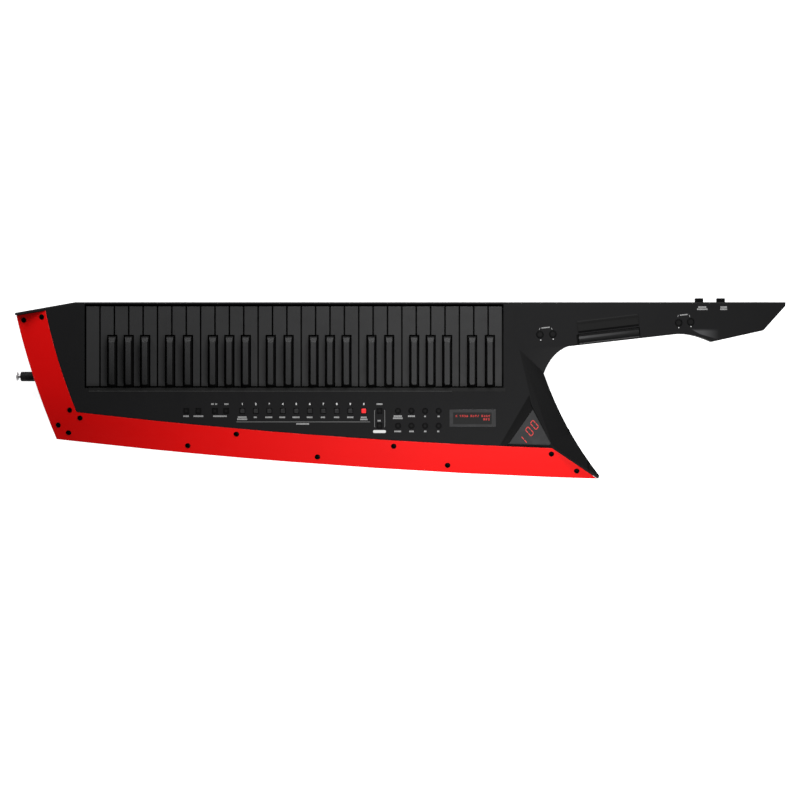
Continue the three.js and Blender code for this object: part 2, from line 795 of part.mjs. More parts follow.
// The line of the battery cover in the back, and the notch for the finger that opens it.
const doorCentre = [keysX(0.42), openingY(0.55)];

function doorLine() {
  const [x, y] = doorCentre;
  const frame = (margin) => rectangle(
    x - DOOR_LENGTH / 2 + margin,
    y - DOOR_WIDTH / 2 + margin,
    x + DOOR_LENGTH / 2 - margin,
    y + DOOR_WIDTH / 2 - margin,
  );
  const line = prism(frame(0), -OVERRUN, DOOR_GROOVE_DEPTH).subtract(
    prism(frame(DOOR_GROOVE_WIDTH), -2 * OVERRUN, 2 * DOOR_GROOVE_DEPTH),
  );
  const notch = circle(x + DOOR_LENGTH / 2, y, DOOR_NOTCH_RADIUS, ROUND_SIDES);
  return line.add(prism(notch, -OVERRUN, DOOR_NOTCH_DEPTH));
}

// Wells for the screws that hold the two shells together.
const upperWellShares = [0.02, 0.26, 0.5, 0.74, 0.98];
const lowerWellShares = [0.04, 0.3, 0.54, 0.78, 0.98];
const backWells = [
  ...upperWellShares.map((share) => [keysX(share), openingY(0.12)]),
  ...lowerWellShares.map((share) => [keysX(share), panelY(0.36)]),
];
const neckWells = [
  [neckX(0.3), neckY(0.5)],
  [neckX(0.6), neckY(0.4)],
  [neckX(0.88), neckY(0.3)],
];

function screwWells() {
  const wellsAt = (places, z) => {
    return places.map(([x, y]) => {
      return prism(circle(x, y, SCREW_WELL_RADIUS, ROUND_SIDES), z - OVERRUN, z + SCREW_WELL_DEPTH);
    });
  };
  return [...wellsAt(backWells, 0), ...wellsAt(neckWells, NECK_BACK_Z)];
}

const solidEnvelope = () => prism(inset(rearOutline, REAR_FLOOR_INSET), FLOOR_WALL / 2, SEAM_Z);

// Posts that carry the key bed.
const BOSS_COLUMNS = 6;
const BED_MARGIN = 2;
const BED_REAR_REACH = 12;

function bosses() {
  const rows = [KEY_FRONT_Y - GUIDE_SETBACK - BOSS_RADIUS, PIVOT_Y];
  const top = BED_Z - BED_THICKNESS - SEAM_GAP;
  const posts = [];
  for (let i = 0; i < BOSS_COLUMNS; i++) {
    const x = keysX((i + 0.5) / BOSS_COLUMNS);
    for (const y of rows) {
      posts.push(prism(circle(x, y, BOSS_RADIUS, BOSS_SIDES), FLOOR_WALL / 2, top));
    }
  }
  return posts;
}

// Strap pins

const PIN_Y = openingY(0.86);
const pinWallX = endX(0.2511);
const PIN_BASE_X = pinWallX + PIN_SEAT_DEPTH;

// A turned form about a line along X, from a profile of [x, radius] points.
function turnedAlongX(profile, sides) {
  const points = profile.map(([x, radius]) => new THREE.Vector2(radius, x));
  const lathe = new THREE.LatheGeometry(points, sides);
  lathe.rotateZ(-Math.PI / 2);
  return solidOf(lathe);
}

function pinSocket() {
  const length = PIN_SEAT_DEPTH + PIN_SEAT_WALL;
  return turnedAlongX(
    [
      [pinWallX + PIN_SEAT_WALL, 0],
      [pinWallX + PIN_SEAT_WALL, PIN_COLLAR_RADIUS + PIN_SEAT_WALL],
      [pinWallX + length, PIN_COLLAR_RADIUS + PIN_SEAT_WALL],
      [pinWallX + length, 0],
    ],
    ROUND_SEGMENTS,
  ).translate([0, PIN_Y, PIN_AXIS_Z]);
}

function pinBore() {
  return turnedAlongX(
    [
      [pinWallX - 4 * OVERRUN, 0],
      [pinWallX - 4 * OVERRUN, PIN_COLLAR_RADIUS + PIN_FIT],
      [PIN_BASE_X, PIN_COLLAR_RADIUS + PIN_FIT],
      [PIN_BASE_X, 0],
    ],
    ROUND_SEGMENTS,
  ).translate([0, PIN_Y, PIN_AXIS_Z]);
}

function endPin() {
  const base = PIN_BASE_X - PIN_FIT;
  const collar = base - PIN_SEAT_DEPTH - PIN_COLLAR_LENGTH;
  const neck = collar - PIN_NECK_LENGTH;
  const head = neck - PIN_HEAD_THICKNESS;
  return turnedAlongX(
    [
      [head, 0],
      [head, PIN_HEAD_RADIUS - PIN_COLLAR_ROUND / 2],
      [head + PIN_COLLAR_ROUND / 2, PIN_HEAD_RADIUS],
      [neck - PIN_COLLAR_ROUND / 2, PIN_HEAD_RADIUS],
      [neck, PIN_NECK_RADIUS],
      [collar, PIN_NECK_RADIUS],
      [collar, PIN_COLLAR_RADIUS - PIN_COLLAR_ROUND],
      [collar + PIN_COLLAR_ROUND, PIN_COLLAR_RADIUS],
      [base, PIN_COLLAR_RADIUS],
      [base, 0],
    ],
    ROUND_SEGMENTS,
  ).translate([0, PIN_Y, PIN_AXIS_Z]);
}

// The pin on the back of the neck, turned about a line along Z.
function rearPin() {
  const low = NECK_BACK_Z - REAR_PIN_LENGTH;
  const points = [
    [0, low],
    [PIN_HEAD_RADIUS, low],
    [PIN_HEAD_RADIUS, low + PIN_HEAD_THICKNESS],
    [PIN_NECK_RADIUS, low + PIN_HEAD_THICKNESS + PIN_COLLAR_ROUND],
    [PIN_NECK_RADIUS, low + PIN_HEAD_THICKNESS + PIN_NECK_LENGTH + PIN_COLLAR_ROUND],
    [PIN_COLLAR_RADIUS, low + PIN_HEAD_THICKNESS + PIN_NECK_LENGTH + 2 * PIN_COLLAR_ROUND],
    [PIN_COLLAR_RADIUS, NECK_BACK_Z + FLOOR_WALL],
    [0, NECK_BACK_Z + FLOOR_WALL],
  ];
  const lathe = new THREE.LatheGeometry(
    points.map(([radius, z]) => new THREE.Vector2(radius, z)),
    ROUND_SEGMENTS,
  );
  lathe.rotateX(Math.PI / 2);
  return solidOf(lathe).translate([neckX(0.12), neckY(0.5), 0]);
}

// Controls

function panelButtons() {
  const matTop = ROOF_Z - SEAM_GAP;
  const capTop = PANEL_Z + CAP_RISE;
  const all = [...squareButtons, ...roundButtons];
  const reach = SQUARE_CAP / 2 + MAT_BORDER;
  const webs = [BUTTON_ROW_Y, LOWER_ROW_Y].map((rowY) => {
    const xs = all.filter(([, y]) => y === rowY).map(([x]) => x);
    return block(
      Math.min(...xs) - reach,
      rowY - reach,
      matTop - MAT_THICKNESS,
      Math.max(...xs) + reach,
      rowY === LOWER_ROW_Y ? BUTTON_ROW_Y : rowY + reach,
      matTop,
    );
  });
  const low = matTop - MAT_THICKNESS / 2;
  return unite([
    ...webs,
    ...squareButtons.map((place) => prism(squareAt(place, SQUARE_CAP / 2), low, capTop)),
    ...roundButtons.map(([x, y]) => prism(circle(x, y, ROUND_CAP_RADIUS, ROUND_SIDES), low, capTop)),
  ]);
}

function handButtons(places) {
  const flangeTop = ROOF_Z - SEAM_GAP;
  const capTop = PANEL_Z + HAND_CAP_RISE;
  const low = flangeTop - MAT_THICKNESS;
  const reach = HAND_CAP_RADIUS + HAND_FLANGE;
  const [[x0, y0], [x1, y1]] = places;
  return unite([
    block(
      Math.min(x0, x1) - reach,
      Math.min(y0, y1) - reach,
      low,
      Math.max(x0, x1) + reach,
      Math.max(y0, y1) + reach,
      flangeTop,
    ),
    ...places.map(([x, y]) => prism(circle(x, y, HAND_CAP_RADIUS, ROUND_SIDES), low, capTop)),
  ]);
}

function thumbButtons() {
  const flangeY = -SIDE_WALL - COVER_FIT - THUMB_FIT;
  const half = THUMB_WIDTH / 2;
  const low = THUMB_Z - THUMB_HEIGHT / 2;
  const high = THUMB_Z + THUMB_HEIGHT / 2;
  return unite([
    block(
      thumbPlaces[0] - half - THUMB_FLANGE,
      flangeY - THUMB_FLANGE,
      low,
      thumbPlaces[1] + half + THUMB_FLANGE,
      flangeY,
      high,
    ),
    ...thumbPlaces.map((x) => block(x - half, flangeY - THUMB_FLANGE, low, x + half, THUMB_RISE, high)),
  ]);
}

// The bar's section, as shares of its width and height, with a rounded back for the fingers.
const barSectionShares = [
  [0, 0],
  [0.8, 0],
  [1, 0.35],
  [0.9, 0.7],
  [0.7, 0.92],
  [0.5, 1],
  [0.3, 1],
  [0, 0.9],
];

function modulationBar() {
  const top = PANEL_Z + BAR_RISE;
  const low = top - BAR_HEIGHT;
  const section = barSectionShares.map(([across, height]) => {
    return new THREE.Vector2(across * BAR_WIDTH, low + height * BAR_HEIGHT);
  });
  const shape = new THREE.Shape(section);
  const bar = new THREE.ExtrudeGeometry(shape, { depth: BAR_LENGTH, bevelEnabled: false });
  const [x, y] = onBar(0, 0);
  bar.applyMatrix4(
    new THREE.Matrix4().makeBasis(
      new THREE.Vector3(Math.sin(barTilt), -Math.cos(barTilt), 0),
      new THREE.Vector3(0, 0, 1),
      new THREE.Vector3(-Math.cos(barTilt), -Math.sin(barTilt), 0),
    ),
  );
  bar.translate(x + BAR_LENGTH * Math.cos(barTilt), y + BAR_LENGTH * Math.sin(barTilt), 0);
  const pinReach = BAR_END_GAP + BAR_PIN_REACH - BAR_PIN_FIT;
  return solidOf(bar).add(barPin(BAR_PIN_RADIUS, -pinReach, BAR_LENGTH + pinReach));
}

function lightWindow() {
  const top = PANEL_Z - WINDOW_DEPTH;
  return prism(windowOutline, top - WINDOW_THICKNESS + WINDOW_FIT, top);
}

// Keys. Each is drawn in its own frame, with its hinge line through the origin along X.

const KEY_FRONT = KEY_FRONT_Y - PIVOT_Y;
const KEY_TOP = WHITE_TOP_Z - PIVOT_Z;
const KEY_BOTTOM = KEY_TOP - KEY_SKIRT;
const KEY_TAIL_TOP = KEY_TOP - KEY_TAIL_DROP;
const KEY_REAR = OPENING_REAR_Y - PIVOT_Y + KEY_REAR_GAP;
const BLACK_FRONT_SHARE = 0.381;
const BLACK_FRONT = openingY(BLACK_FRONT_SHARE) - PIVOT_Y;
const BLACK_REAR = KEY_REAR;
const SOCKET_RADIUS = PIVOT_RADIUS + PIVOT_CLEARANCE;
const SOCKET_STEPS = 6;
const CORNER_STEPS = 2;
// How far the middle of a rounded edge lies in from its sharp corner.
const ARC_SHARE = 0.3;

// The underside of a key's tail, from front to back over the hinge ridge.
function socketPoints() {
  const points = [];
  for (let i = 0; i <= SOCKET_STEPS; i++) {
    const angle = (Math.PI * i) / SOCKET_STEPS;
    points.push([SOCKET_RADIUS * Math.cos(angle), SOCKET_RADIUS * Math.sin(angle)]);
  }
  return points;
}

// The key's side view, seen from +X and counter-clockwise.
function keySide(front, top) {
  return [
    [-KEY_TAIL_LENGTH, 0],
    ...socketPoints().reverse(),
    [SOCKET_RADIUS - KEY_BOTTOM, KEY_BOTTOM],
    [front, KEY_BOTTOM],
    ...top,
    [-KEY_TAIL_LENGTH, KEY_TAIL_TOP],
  ];
}

function whiteTop() {
  return [
    [KEY_FRONT, KEY_TOP - KEY_EDGE_ROUND],
    [KEY_FRONT - KEY_EDGE_ROUND * ARC_SHARE, KEY_TOP - KEY_EDGE_ROUND * ARC_SHARE],
    [KEY_FRONT - KEY_EDGE_ROUND, KEY_TOP],
    [KEY_REAR, KEY_TOP],
    [KEY_REAR - KEY_WALL, KEY_TAIL_TOP],
  ];
}

// One white-note key: left and right are its sides behind the black keys' front ends.
function whiteKey(left, right) {
  const half = (KEY_PITCH - KEY_GAP) / 2;
  const notchY = BLACK_FRONT + BLACK_GAP;
  const plan = [
    [left, -KEY_TAIL_LENGTH],
    [right, -KEY_TAIL_LENGTH],
    ...(right < half ? [[right, notchY], [half, notchY]] : []),
    [half, KEY_FRONT],
    [-half, KEY_FRONT],
    ...(left > -half ? [[-half, notchY], [left, notchY]] : []),
  ];
  const body = sideProfile(keySide(KEY_FRONT, whiteTop()), -half, half).intersect(
    prism(plan, KEY_BOTTOM - OVERRUN, KEY_TOP + OVERRUN),
  );
  return body
    .subtract(keyPocket(plan, SOCKET_RADIUS - KEY_BOTTOM, KEY_TAIL_TOP - KEY_WALL))
    .subtract(keyPocket(plan, KEY_REAR, KEY_TOP - KEY_ROOF));
}

// The hollow under a key, from a place along it to its front wall.
function keyPocket(plan, rear, roof) {
  const room = plan.map(([x, y]) => [x, Math.max(y, rear)]);
  return prism(inset(room, KEY_WALL), KEY_BOTTOM - OVERRUN, roof);
}

// A sharp's plan at one height, with its rear corners rounded.
function sharpPlan(half, rear, front) {
  const side = rear + BLACK_CORNER;
  const corner = half - BLACK_CORNER;
  return [
    ...curve([-half, side], [-half, rear], [-corner, rear], CORNER_STEPS),
    [-corner, rear],
    ...curve([corner, rear], [half, rear], [half, side], CORNER_STEPS),
    [half, side],
    [half, front],
    [-half, front],
  ];
}

function blackKey() {
  const half = BLACK_BASE_WIDTH / 2;
  const slim = BLACK_TOP_WIDTH / 2;
  const tail = BLACK_TAIL_WIDTH / 2;
  const top = KEY_TOP + BLACK_RISE;
  const soft = KEY_EDGE_ROUND / 2;
  const share = BLACK_NOSE_RISE / (BLACK_RISE - KEY_EDGE_ROUND);
  const base = sharpPlan(half, BLACK_REAR, BLACK_FRONT);
  const nose = sharpPlan(
    half + (slim + soft - half) * share,
    BLACK_REAR + (BLACK_REAR_SLOPE - soft) * share,
    BLACK_FRONT - BLACK_NOSE_SLOPE,
  );
  const [rear, front] = [BLACK_REAR + BLACK_REAR_SLOPE, BLACK_FRONT - BLACK_FRONT_SLOPE];
  const head = ruledSolid([
    atHeight(base, KEY_BOTTOM),
    atHeight(base, KEY_TOP),
    atHeight(nose, KEY_TOP + BLACK_NOSE_RISE),
    atHeight(sharpPlan(slim + soft, rear - soft, front + soft), top - KEY_EDGE_ROUND),
    atHeight(sharpPlan(slim, rear, front), top),
  ]);
  const stem = sideProfile(
    keySide(BLACK_REAR + BLACK_FRONT_SLOPE, [[BLACK_REAR + BLACK_FRONT_SLOPE, KEY_TAIL_TOP]]),
    -tail,
    tail,
  );
  const pocket = prism(
    rectangle(-half + KEY_WALL, BLACK_REAR + BLACK_FRONT_SLOPE, half - KEY_WALL, BLACK_FRONT - KEY_WALL),
    KEY_BOTTOM - OVERRUN,
    KEY_TOP - KEY_ROOF,
  );
  return head.subtract(pocket).add(stem);
}

// Notes from the keyboard's left end, which is its highest C, to the lowest C.
const LETTERS = ["C", "B", "A", "G", "F", "E", "D"];
const TOP_OCTAVE = 6;
const sharpShift = { A: -TRIO_SPREAD, G: 0, F: TRIO_SPREAD, D: -PAIR_SPREAD, C: PAIR_SPREAD };

function keyboard() {
  const whites = [];
  for (let i = 0; i < WHITE_KEYS; i++) {
    const letter = LETTERS[i % LETTERS.length];
    const octave = TOP_OCTAVE - Math.ceil(i / LETTERS.length);
    whites.push({ letter, octave, x: KEYBOARD_CLEARANCE + (i + 0.5) * KEY_PITCH });
  }
  const sharps = [];
  whites.slice(1).forEach(({ letter, octave, x }) => {
    if (letter in sharpShift) {
      sharps.push({ letter, octave, x: x - KEY_PITCH / 2 + sharpShift[letter] });
    }
  });
  const reach = BLACK_BASE_WIDTH / 2 + BLACK_GAP;
  const half = (KEY_PITCH - KEY_GAP) / 2;
  const keys = whites.map(({ letter, octave, x }) => {
    const near = sharps.map((sharp) => sharp.x - x).filter((d) => Math.abs(d) < KEY_PITCH);
    const leftSharp = near.filter((d) => d < 0).map((d) => d + reach);
    const rightSharp = near.filter((d) => d > 0).map((d) => d - reach);
    return {
      name: `key_${letter}${octave}`,
      x,
      solid: whiteKey(Math.max(-half, ...leftSharp), Math.min(half, ...rightSharp)),
    };
  });
  for (const { letter, octave, x } of sharps) {
    keys.push({ name: `key_${letter}s${octave}`, x, sharp: true, solid: blackKey() });
  }
  return keys;
}

// Key bed with its hinge ridge and guide pins.
function keyChassis(keys) {
  const low = BED_Z - BED_THICKNESS;
  const inner = PIVOT_RADIUS;
  const plate = block(
    -BED_MARGIN,
    PIVOT_Y - BED_REAR_REACH,
    low,
    KEYBOARD_LENGTH + BED_MARGIN,
    KEY_FRONT_Y - KEY_WALL,
    BED_Z,
  );
  const ridge = [];
  for (let i = 0; i <= SOCKET_STEPS; i++) {
    const angle = (Math.PI * i) / SOCKET_STEPS;
    ridge.push([PIVOT_Y + inner * Math.cos(angle), PIVOT_Z + inner * Math.sin(angle)]);
  }
  const rail = sideProfile([[PIVOT_Y - inner, low], [PIVOT_Y + inner, low], ...ridge], 0, KEYBOARD_LENGTH);
  const guides = keys.map(({ x, sharp }) => {
    const front = (sharp ? PIVOT_Y + BLACK_FRONT : KEY_FRONT_Y) - GUIDE_SETBACK;
    return block(x - GUIDE_WIDTH / 2, front, low, x + GUIDE_WIDTH / 2, front + GUIDE_LENGTH, GUIDE_TOP_Z);
  });
  return unite([plate, rail, ...guides]);
}

// The whole instrument

const finishes = {
  case: { color: CASE_BLACK, roughness: 0.55, metalness: 0 },
  key: { color: KEY_BLACK, roughness: 0.4, metalness: 0 },
  cover: { color: COVER_RED, roughness: 0.3, metalness: 0.1 },
  smoked: { color: SMOKED, roughness: 0.12, metalness: 0 },
  rubber: { color: RUBBER_BLACK, roughness: 0.7, metalness: 0 },
  steel: { color: STEEL, roughness: 0.25, metalness: 1 },
};

const instrument = new THREE.Group();
const leftmost = Math.min(
  endX(0),
  PIN_BASE_X - PIN_FIT - PIN_SEAT_DEPTH - PIN_COLLAR_LENGTH - PIN_NECK_LENGTH - PIN_HEAD_THICKNESS,
);
instrument.position.set(-(leftmost + neckX(1)) / 2, -(LOWEST_Y + THUMB_RISE) / 2, 0);

function addPiece(name, solid, finish, place = [0, 0, 0]) {
  const mesh = new THREE.Mesh(geometryOf(solid), new THREE.MeshStandardMaterial(finishes[finish]));
  mesh.name = name;
  mesh.position.set(...place);
  instrument.add(mesh);
}

const keys = keyboard();
for (const { name, x, solid } of keys) {
  addPiece(name, solid, "key", [x, PIVOT_Y, PIVOT_Z]);
}
addPiece("front_case", frontCase(), "case");
addPiece("rear_case", rearCase(), "case");
addPiece("edge_cover", edgeCover(), "cover");
addPiece("key_chassis", keyChassis(keys), "case");
addPiece("light_window", lightWindow(), "smoked");
addPiece("end_strap_pin", endPin(), "steel");
addPiece("modulation_bar", modulationBar(), "rubber");
addPiece("panel_buttons", panelButtons(), "rubber");
addPiece("octave_buttons", handButtons(octavePlaces), "rubber");
addPiece("patch_buttons", handButtons(patchPlaces), "rubber");
addPiece("thumb_buttons", thumbButtons(), "rubber");

const root = new THREE.Group();
root.add(instrument);

export default root;
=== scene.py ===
"""A shoulder keyboard on its back on a white floor, seen from straight above. Lengths are in metres."""

import json
import math
import random

import bmesh
import bpy
from mathutils import Matrix, Vector
from mathutils.bvhtree import BVHTree

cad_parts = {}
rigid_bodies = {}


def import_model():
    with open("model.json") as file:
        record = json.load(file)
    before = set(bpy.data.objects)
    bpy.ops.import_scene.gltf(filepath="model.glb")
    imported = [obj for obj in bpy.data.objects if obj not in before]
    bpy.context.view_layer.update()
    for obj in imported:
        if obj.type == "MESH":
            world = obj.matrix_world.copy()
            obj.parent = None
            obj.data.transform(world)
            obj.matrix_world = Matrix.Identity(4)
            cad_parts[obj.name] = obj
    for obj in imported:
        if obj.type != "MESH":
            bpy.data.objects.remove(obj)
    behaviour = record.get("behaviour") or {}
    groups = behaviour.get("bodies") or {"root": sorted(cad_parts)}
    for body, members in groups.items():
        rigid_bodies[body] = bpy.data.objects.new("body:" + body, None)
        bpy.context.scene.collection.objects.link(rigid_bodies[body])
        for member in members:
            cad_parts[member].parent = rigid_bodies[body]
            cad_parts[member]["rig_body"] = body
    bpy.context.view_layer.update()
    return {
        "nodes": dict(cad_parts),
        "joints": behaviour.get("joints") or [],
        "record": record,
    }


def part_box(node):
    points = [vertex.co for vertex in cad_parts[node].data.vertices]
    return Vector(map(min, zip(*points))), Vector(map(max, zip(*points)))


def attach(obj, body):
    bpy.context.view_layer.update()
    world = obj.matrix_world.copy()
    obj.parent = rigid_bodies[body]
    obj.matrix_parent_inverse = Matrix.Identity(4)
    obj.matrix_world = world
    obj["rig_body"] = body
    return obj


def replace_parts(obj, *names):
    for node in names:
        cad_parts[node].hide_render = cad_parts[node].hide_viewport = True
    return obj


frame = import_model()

MM = 0.001

# The photograph's scale at the height of the control panel, and the place of the frame's origin in it.
PIXEL = 1.634 * MM
ZERO_COLUMN = 399.28
ZERO_ROW = 388.535
IMAGE_SIDE = 800
CAMERA_DISTANCE = 5.0
SENSOR_WIDTH = 36.0

PANEL_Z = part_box("front_case")[1].z
CAMERA_PLACE = Vector(
    (
        (IMAGE_SIDE / 2 - ZERO_COLUMN) * PIXEL,
        (ZERO_ROW - IMAGE_SIDE / 2) * PIXEL,
        PANEL_Z + CAMERA_DISTANCE,
    )
)

SLOTS = {part["node"]: part["material_slot"] for part in frame["record"]["subparts"]}

# Finishing of the moulded parts
WELD = 0.002 * MM
FLAT_ANGLE = math.radians(0.6)
ROUND_ANGLE = math.radians(26)
SHARP_ANGLE = math.radians(42)
INK_THICKNESS = 0.12 * MM
INK_RISE = 0.05 * MM


def place(column, row, z=PANEL_Z):
    """The point at a height that shows at that column and row of the photograph."""
    seen = Vector(((column - ZERO_COLUMN) * PIXEL, (ZERO_ROW - row) * PIXEL, PANEL_Z))
    share = (CAMERA_PLACE.z - z) / CAMERA_DISTANCE
    return CAMERA_PLACE.lerp(seen, share)


# Shader helpers


def wire(tree, socket, value):
    if isinstance(value, bpy.types.NodeSocket):
        tree.links.new(value, socket)
    else:
        socket.default_value = value


def add_node(tree, kind, sockets=None, **settings):
    made = tree.nodes.new(kind)
    for name, value in settings.items():
        setattr(made, name, value)
    for name, value in (sockets or {}).items():
        wire(tree, made.inputs[name], value)
    return made


def colour_between(tree, share, low, high):
    made = add_node(tree, "ShaderNodeMix", {0: share, 6: low, 7: high}, data_type="RGBA")
    return made.outputs[2]


def spread(tree, value, low, high):
    made = add_node(tree, "ShaderNodeMapRange", {"Value": value, "To Min": low, "To Max": high})
    return made.outputs[0]


def cut(tree, value, low, high):
    """A mask that rises from 0 to 1 between two values."""
    made = add_node(tree, "ShaderNodeMapRange", {"Value": value, "From Min": low, "From Max": high})
    return made.outputs[0]


def calculate(tree, operation, *values):
    made = add_node(tree, "ShaderNodeMath", dict(enumerate(values)), operation=operation)
    return made.outputs[0]


def times(tree, first, *others):
    """The product of several masks or values."""
    for other in others:
        first = calculate(tree, "MULTIPLY", first, other)
    return first


def scaled_place(tree, scale):
    """The place on the piece, in units of one over the scale."""
    where = add_node(tree, "ShaderNodeTexCoord")
    made = add_node(tree, "ShaderNodeVectorMath", {0: where.outputs["Object"]}, operation="SCALE")
    wire(tree, made.inputs["Scale"], scale)
    return made.outputs[0]


def place_on_piece(tree):
    """The X, Y and Z of a place on a piece, in the frame."""
    where = add_node(tree, "ShaderNodeTexCoord")
    return add_node(tree, "ShaderNodeSeparateXYZ", {0: where.outputs["Object"]}).outputs


def noise(tree, where, scale, detail, distortion=0.0):
    sockets = {"Vector": where, "Scale": scale, "Detail": detail, "Distortion": distortion}
    return add_node(tree, "ShaderNodeTexNoise", sockets).outputs[0]


def cells(tree, where):
    """The distance to the nearest of many scattered points, one to a unit."""
    return add_node(tree, "ShaderNodeTexVoronoi", {"Vector": where, "Scale": 1.0}).outputs[0]


def new_group(name, inputs, outputs):
    group = bpy.data.node_groups.new(name, "ShaderNodeTree")
    for label, default in inputs.items():
        socket = group.interface.new_socket(label, in_out="INPUT", socket_type="NodeSocketFloat")
        socket.default_value = default
    for label in outputs:
        group.interface.new_socket(label, in_out="OUTPUT", socket_type="NodeSocketFloat")
    return group, group.nodes.new("NodeGroupInput"), group.nodes.new("NodeGroupOutput")


# Effects that several finishes share


def make_moulded_grain():
    """Spark-eroded grain: a fine pitted height, and a slow change of tone."""
    group, given, result = new_group("moulded grain", {"Grains per metre": 1500}, ["Height", "Tone"])
    where = scaled_place(group, given.outputs[0])
    height = times(group, cells(group, where), noise(group, where, 0.9, 3.0))
    wire(group, result.inputs["Height"], height)
    wire(group, result.inputs["Tone"], noise(group, scaled_place(group, 9.0), 1.0, 5.0))
    return group


def make_worn_edge():
    """The rounded edges of a moulding, broken up where hands and straps have polished them."""
    group, given, result = new_group("worn edge", {"Patches per metre": 160}, ["Mask"])
    edge = add_node(group, "ShaderNodeAttribute", attribute_name="edge")
    patches = noise(group, scaled_place(group, given.outputs[0]), 1.0, 6.0)
    broken = cut(group, patches, 0.42, 0.68)
    wire(group, result.inputs["Mask"], times(group, edge.outputs["Fac"], broken))
    return group


def make_handling():
    """Faint smears and finger marks, as a mask."""
    group, given, result = new_group("handling marks", {"Marks per metre": 34}, ["Mask"])
    where = scaled_place(group, given.outputs[0])
    smears = cut(group, noise(group, where, 1.0, 4.0, 1.4), 0.46, 0.72)
    fibres = spread(group, noise(group, where, 22.0, 3.0), 0.5, 1.0)
    wire(group, result.inputs["Mask"], times(group, smears, fibres))
    return group


def make_dust():
    """Specks of dust on faces that look up, as a mask."""
    group, given, result = new_group("dust", {"Specks per metre": 700}, ["Mask"])
    where = scaled_place(group, given.outputs[0])
    dots = cut(group, cells(group, where), 0.16, 0.04)
    sparse = cut(group, noise(group, where, 0.05, 2.0), 0.5, 0.8)
    facing = add_node(group, "ShaderNodeNewGeometry")
    up = add_node(group, "ShaderNodeSeparateXYZ", {0: facing.outputs["Normal"]})
    lying = cut(group, up.outputs["Z"], 0.5, 0.9)
    wire(group, result.inputs["Mask"], times(group, dots, sparse, lying))
    return group


def make_gap_shade():
    """Faces that look sideways or backwards into the gap beside a key, as a mask."""
    group, given, result = new_group("gap shade", {"Least lean": 0.2}, ["Mask"])
    facing = add_node(group, "ShaderNodeTexCoord")
    parts = add_node(group, "ShaderNodeSeparateXYZ", {0: facing.outputs["Normal"]})
    sideways = calculate(group, "ABSOLUTE", parts.outputs["X"])
    backwards = times(group, parts.outputs["Y"], -1.0)
    lean = calculate(group, "MAXIMUM", sideways, backwards)
    steep = calculate(group, "ADD", given.outputs[0], 0.2)
    wire(group, result.inputs["Mask"], cut(group, lean, given.outputs[0], steep))
    return group


GRAIN = make_moulded_grain()
WORN_EDGE = make_worn_edge()
HANDLING = make_handling()
DUST = make_dust()
GAP_SHADE = make_gap_shade()


def grouped(tree, group, output, value=None):
    made = add_node(tree, "ShaderNodeGroup", node_tree=group)
    if value is not None:
        made.inputs[0].default_value = value
    return made.outputs[output]


# Finishes


def grey(level, blue=None):
    """A grey, with a little more blue where a second level is given."""
    return (level, level, blue or level, 1)


DUST_GREY = (0.16, 0.155, 0.15, 1)
# Black for painted shade in gaps, seams and under edges.
GAP_BLACK = grey(0.0012)
DEEPEST_TONE = 0.86
MARK_GLOSS = 0.07
WORN_GLOSS = 0.12
LINE_SOFTNESS = 0.8 * MM


def empty_finish(name):
    material = bpy.data.materials.new(name)
    material.use_nodes = True
    return material, material.node_tree, material.node_tree.nodes["Principled BSDF"]


def dimmed(colour, share):
    return tuple(share * channel for channel in colour[:3]) + (1,)


def raise_surface(tree, shader, height, depth):
    """Lets a height show as relief of that depth."""
    bump = add_node(tree, "ShaderNodeBump", {"Distance": depth, "Height": height})
    wire(tree, shader.inputs["Normal"], bump.outputs[0])


def moulded_finish(name, colour, edge_colour, roughness, grains, grain_depth, specular, dusty=0.25):
    """A moulded plastic or rubber with grain, handling marks, lighter edges and a little dust."""
    material, tree, shader = empty_finish(name)
    tone = grouped(tree, GRAIN, "Tone", grains)
    worn = grouped(tree, WORN_EDGE, "Mask")
    marks = grouped(tree, HANDLING, "Mask")
    dust = times(tree, grouped(tree, DUST, "Mask"), dusty)
    body = colour_between(tree, tone, dimmed(colour, DEEPEST_TONE), colour)
    edged = colour_between(tree, worn, body, edge_colour)
    wire(tree, shader.inputs["Base Color"], colour_between(tree, dust, edged, DUST_GREY))
    dull = spread(tree, tone, *roughness)
    handled = calculate(tree, "SUBTRACT", dull, times(tree, marks, MARK_GLOSS))
    polished = calculate(tree, "SUBTRACT", handled, times(tree, worn, WORN_GLOSS))
    wire(tree, shader.inputs["Roughness"], polished)
    raise_surface(tree, shader, grouped(tree, GRAIN, "Height", grains), grain_depth)
    shader.inputs["Specular IOR Level"].default_value = specular
    return material


def overlay(material, mask, colour=GAP_BLACK):
    """Lays a plain colour over a finish where the mask is 1."""
    tree = material.node_tree
    base = tree.nodes["Principled BSDF"].inputs["Base Color"]
    wire(tree, base, colour_between(tree, mask, base.links[0].from_socket, colour))


def right_of(tree, x, y, lines, softness=LINE_SOFTNESS):
    """A mask of the places to the right of every line, each drawn from one pixel to another."""
    least = None
    for start, end in lines:
        start, end = place(*start), place(*end)
        along = (end - start).normalized()
        across = times(tree, calculate(tree, "SUBTRACT", x, start.x), along.y)
        beside = times(tree, calculate(tree, "SUBTRACT", y, start.y), -along.x)
        side = calculate(tree, "ADD", across, beside)
        least = calculate(tree, "MINIMUM", least, side) if least else side
    return cut(tree, least, 0, softness)
